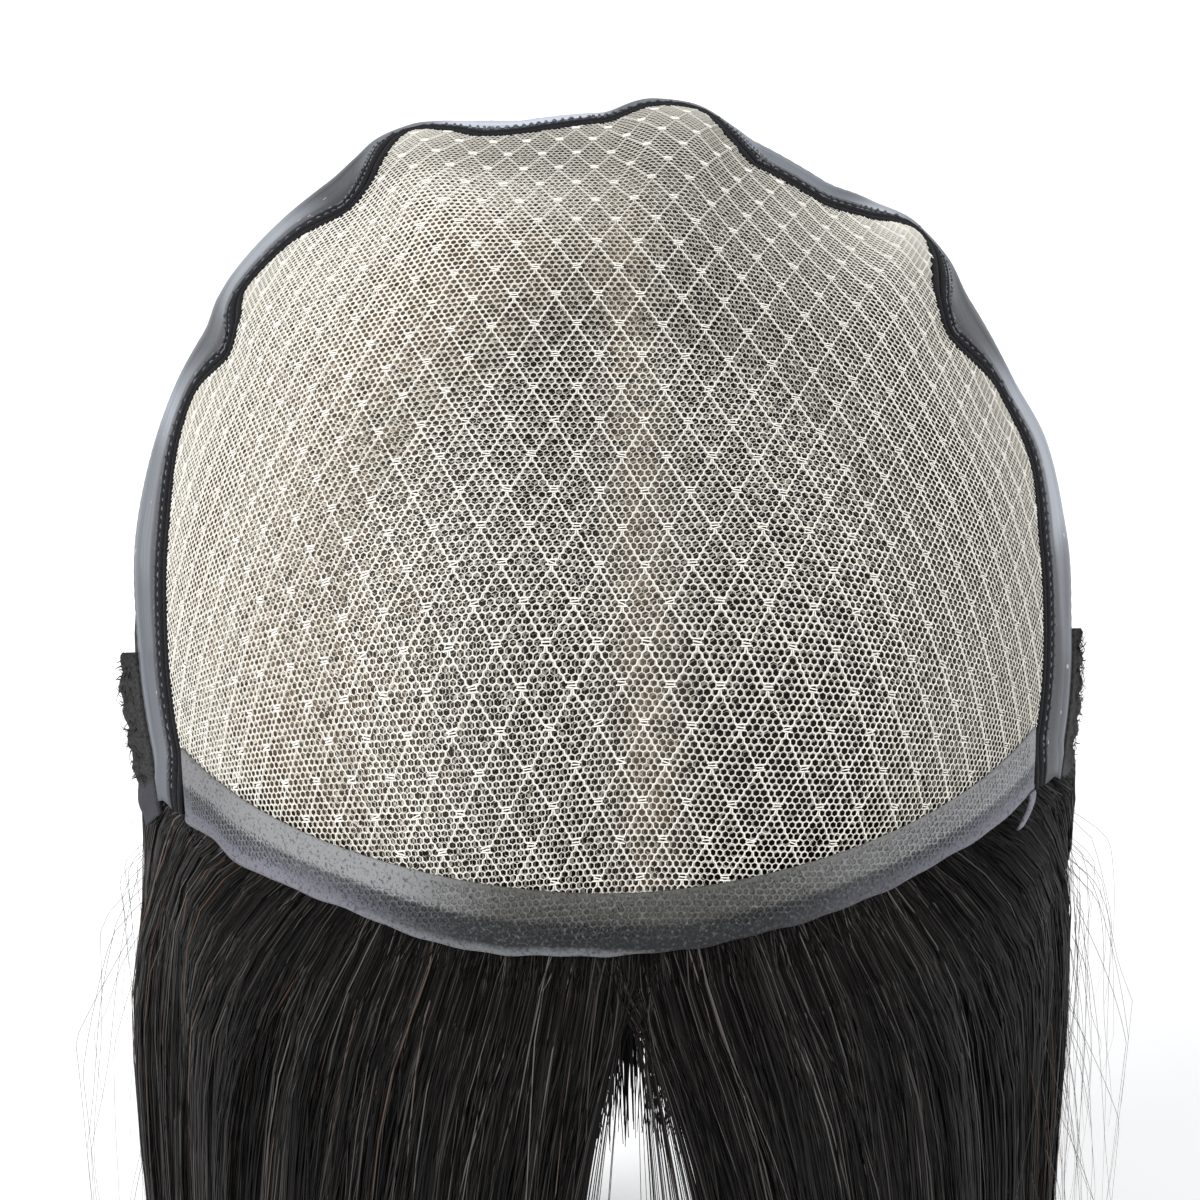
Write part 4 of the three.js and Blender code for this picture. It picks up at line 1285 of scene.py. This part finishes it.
def make_strands(panel, strands, steps, width):
    """Strands of a panel, gathered in clumps, from under the rim to the tips."""
    start, end, locks = PANELS[panel]
    extent = abs(end - start)
    k = np.linspace(0, 1, steps)[None] ** 1.9
    low_share = RNG.uniform(0, 1, strands)
    root_share = low_share
    if start == 0:
        root_share = np.interp(low_share * extent, SWEEP_LOW, SWEEP_ROOT) / extent
    root_turn = fold_turn(start + (end - start) * root_share)[:, None]
    clump_middle, clump_out, clump_drift = strand_clumps(low_share, locks * CLUMPS_PER_LOCK)
    root_level = LEVEL(root_turn) + ROOT_RAISE(root_turn) + draw(0, ROOT_UNEVEN, strands)
    tip = strand_tips(panel, low_share)[:, None]
    height = root_level + (tip - root_level) * k
    drop = root_level - height
    gather = GATHER[panel] * smoothstep(0.1, 1.0, k)
    low_place = low_share[:, None] * (1 - gather) + clump_middle * gather
    place = strand_place(root_share[:, None], low_place, clump_drift, drop, k)
    around = panel_angle(panel, place, height)
    narrow, out = strand_reach(around, root_turn, height, drop)
    out = out + side_outline(panel, root_turn, drop) + strand_layer(panel, place, clump_out, drop, k)
    path = hair_at(around, height, narrow, out)
    a = np.radians(around)
    outward = np.stack([np.sin(a), -np.cos(a), np.zeros_like(a)], -1)
    tilt = spread(TILT, strands)[..., None]
    sides = flat_sides(path, outward) * np.cos(tilt) + outward * np.sin(tilt)
    taper = width * draw(0.6, 1.2, strands) * (1 - 0.6 * k ** 9)
    # Painted shade on the strands at the sides
    side_shade = SIDE_PAINTED_SHADE[panel] * smoothstep(22, 50, root_turn[:, 0])
    add_strands(f"hair_{panel}_strands", path, sides, taper, RNG.beta(0.9, 2.6, strands) * (1 - side_shade))


def make_veil(strands, steps, width):
    """Fine strands across the parting: dense at its edges, fewer towards its middle."""
    k = np.linspace(0, 1, steps)[None] ** 1.5
    side = np.where(RNG.uniform(0, 1, strands) < 0.3, -1, 1)[:, None]
    first = draw(-5.5, 5.5, strands)
    root_level = LEVEL(0) + ROOT_RAISE(0) + draw(0, ROOT_UNEVEN, strands)
    drop = draw(70, 190, strands) * k
    height = root_level - drop
    swept = 1 - np.exp(-(drop / 10) ** 2)
    place = np.where(side > 0, RNG.beta(1.9, 1, (strands, 1)), RNG.beta(4, 1, (strands, 1)))
    opening = np.where(side > 0, PART_OPENING["right"], PART_OPENING["left"])
    edge = parting_half(height) * opening * 1.25 * place + 0.5
    x = first * (1 - swept) + side * (edge * swept + np.abs(first) * 0.35 * k)
    around = np.degrees(np.arcsin(np.clip(x / HALF_WIDTH, -1, 1)))
    narrow, out = strand_reach(around, np.zeros((strands, 1)), height, drop)
    layer = draw(-1.6, 0.6, strands) * smoothstep(0, 20, drop)
    path = hair_at(around, height, narrow, out + layer)
    sides = flat_sides(path, np.array([0.0, -1.0, 0.0]) + RNG.normal(0, 0.4, (strands, 1, 3)))
    tint = RNG.beta(1.3, 3.2, strands)
    add_strands("hair_parting_strands", path, sides, width * (1 - 0.5 * k ** 3), tint)


def make_flyaways(strands, steps, width):
    """Single loose strands that stand off both sides of the hair."""
    k = np.linspace(0, 1, steps)[None]
    side = np.where(RNG.uniform(0, 1, strands) < 0.22, -1, 1)
    around = (side * RNG.uniform(50, 104, strands))[:, None]
    first = RNG.uniform(-95, -14, strands)
    length = np.minimum(RNG.uniform(40, 130, strands), first - HAIR_HEM - 3)
    height = first[:, None] - length[:, None] * k
    below = np.maximum(0, LEVEL(np.abs(around)) - height)
    narrow, swollen, flare = curtain(around, below)
    bow = np.sin(k * math.pi * draw(0.3, 0.7, strands))
    stand = RNG.gamma(1.5, 4.6, strands)[:, None] * bow
    stand = stand + 0.8 * np.sin(k * draw(4, 11, strands))
    turn = around + side[:, None] * RNG.normal(2, 8, strands)[:, None] * k ** 1.5
    path = hair_at(turn, height, narrow, swollen + flare + np.clip(stand, -0.5, 12.0))
    sides = flat_sides(path, np.array([0.3, -1.0, 0.4]))
    tint = RNG.uniform(0.3, 1, strands)
    add_strands("hair_flyaways", path, sides, width * (1 - 0.6 * k), tint)


# Studio
def make_floor():
    """Plain pale floor a little below the hem."""
    paint = Paint("pale_floor", Base_Color=(0.97, 0.97, 0.97, 1), Roughness=0.9,
                  Emission_Color=(1, 1, 1, 1), Emission_Strength=0.06)
    mesh = bpy.data.meshes.new("floor")
    low = CAD_BOX[0][2] - FLOOR_BELOW
    corners = [(x * FLOOR_HALF, y * FLOOR_HALF, low) for x, y in ((-1, -1), (1, -1), (1, 1), (-1, 1))]
    mesh.from_pydata(corners, [], [(0, 1, 2, 3)])
    mesh.materials.append(paint.material)
    floor = add_object("floor", mesh)


def add_aimed(name, data, place, target):
    """A light or camera at a place, turned towards a target."""
    obj = add_object(name, data)
    obj.location = place
    obj.rotation_euler = (Vector(target) - obj.location).to_track_quat("-Z", "Y").to_euler()
    return obj


def make_studio():
    """Pale surroundings with soft round lights."""
    world = bpy.data.worlds.new("studio")
    world.use_nodes = True
    background = world.node_tree.nodes["Background"]
    background.inputs[0].default_value = WORLD_COLOUR
    background.inputs[1].default_value = WORLD_LIGHT
    scene = bpy.context.scene
    scene.world = world
    scene.view_settings.view_transform = "Standard"
    for name, (place, energy) in LIGHTS.items():
        light = bpy.data.lights.new(name, "AREA")
        light.shape = "DISK"
        light.size = LIGHT_SIZE
        light.energy = energy
        add_aimed(name, light, place, LIGHT_AIM)


def make_camera():
    """Camera fitted to the outline in the photograph."""
    camera = bpy.data.cameras.new("camera")
    camera.lens = CAMERA_LENS
    camera.sensor_width = CAMERA_SENSOR
    camera.shift_y = CAMERA_SHIFT
    camera.clip_start = 0.01
    centre = Vector(HEAD_MIDDLE) * MM
    bpy.context.scene.camera = add_aimed("camera", camera, centre + Vector(CAMERA_PLACE) * MM, centre)


make_camera()
make_studio()
make_floor()
make_net(
    "lace_net", NET_DEPTH, (0, 0), NET_LOOSE, rim=RIM_STRAND, slim=0,
    material=LACE, tone=yarn_lining_and_light, replaces=("lace_top",),
)
make_net_depth("lace_net_sides", SIDES_LOW, SIDES_HIGH, LACE)
make_net(
    "lace_net_under", UNDER_DEPTH, UNDER_SHIFT, UNDER_LOOSE, rim=0, slim=UNDER_SLIM,
    material=LACE_UNDER_SHADED, tone=lining_and_left_light, corners=False,
)
make_pattern()
make_band()
make_band_net()
for cord_name, cord in CORDS.items():
    make_cord(cord_name, *cord)
for row_name, row in STITCH_ROWS.items():
    make_stitches(row_name, *row)
make_tape()
make_back_cap()
for tab_side in EAR_TABS:
    make_ear_tab(tab_side)
for panel_name in PANELS:
    make_hair_form(panel_name)
for panel_name in PANELS:
    make_strands(panel_name, *STRANDS[panel_name])
make_veil(*VEIL)
make_flyaways(*FLYAWAYS)
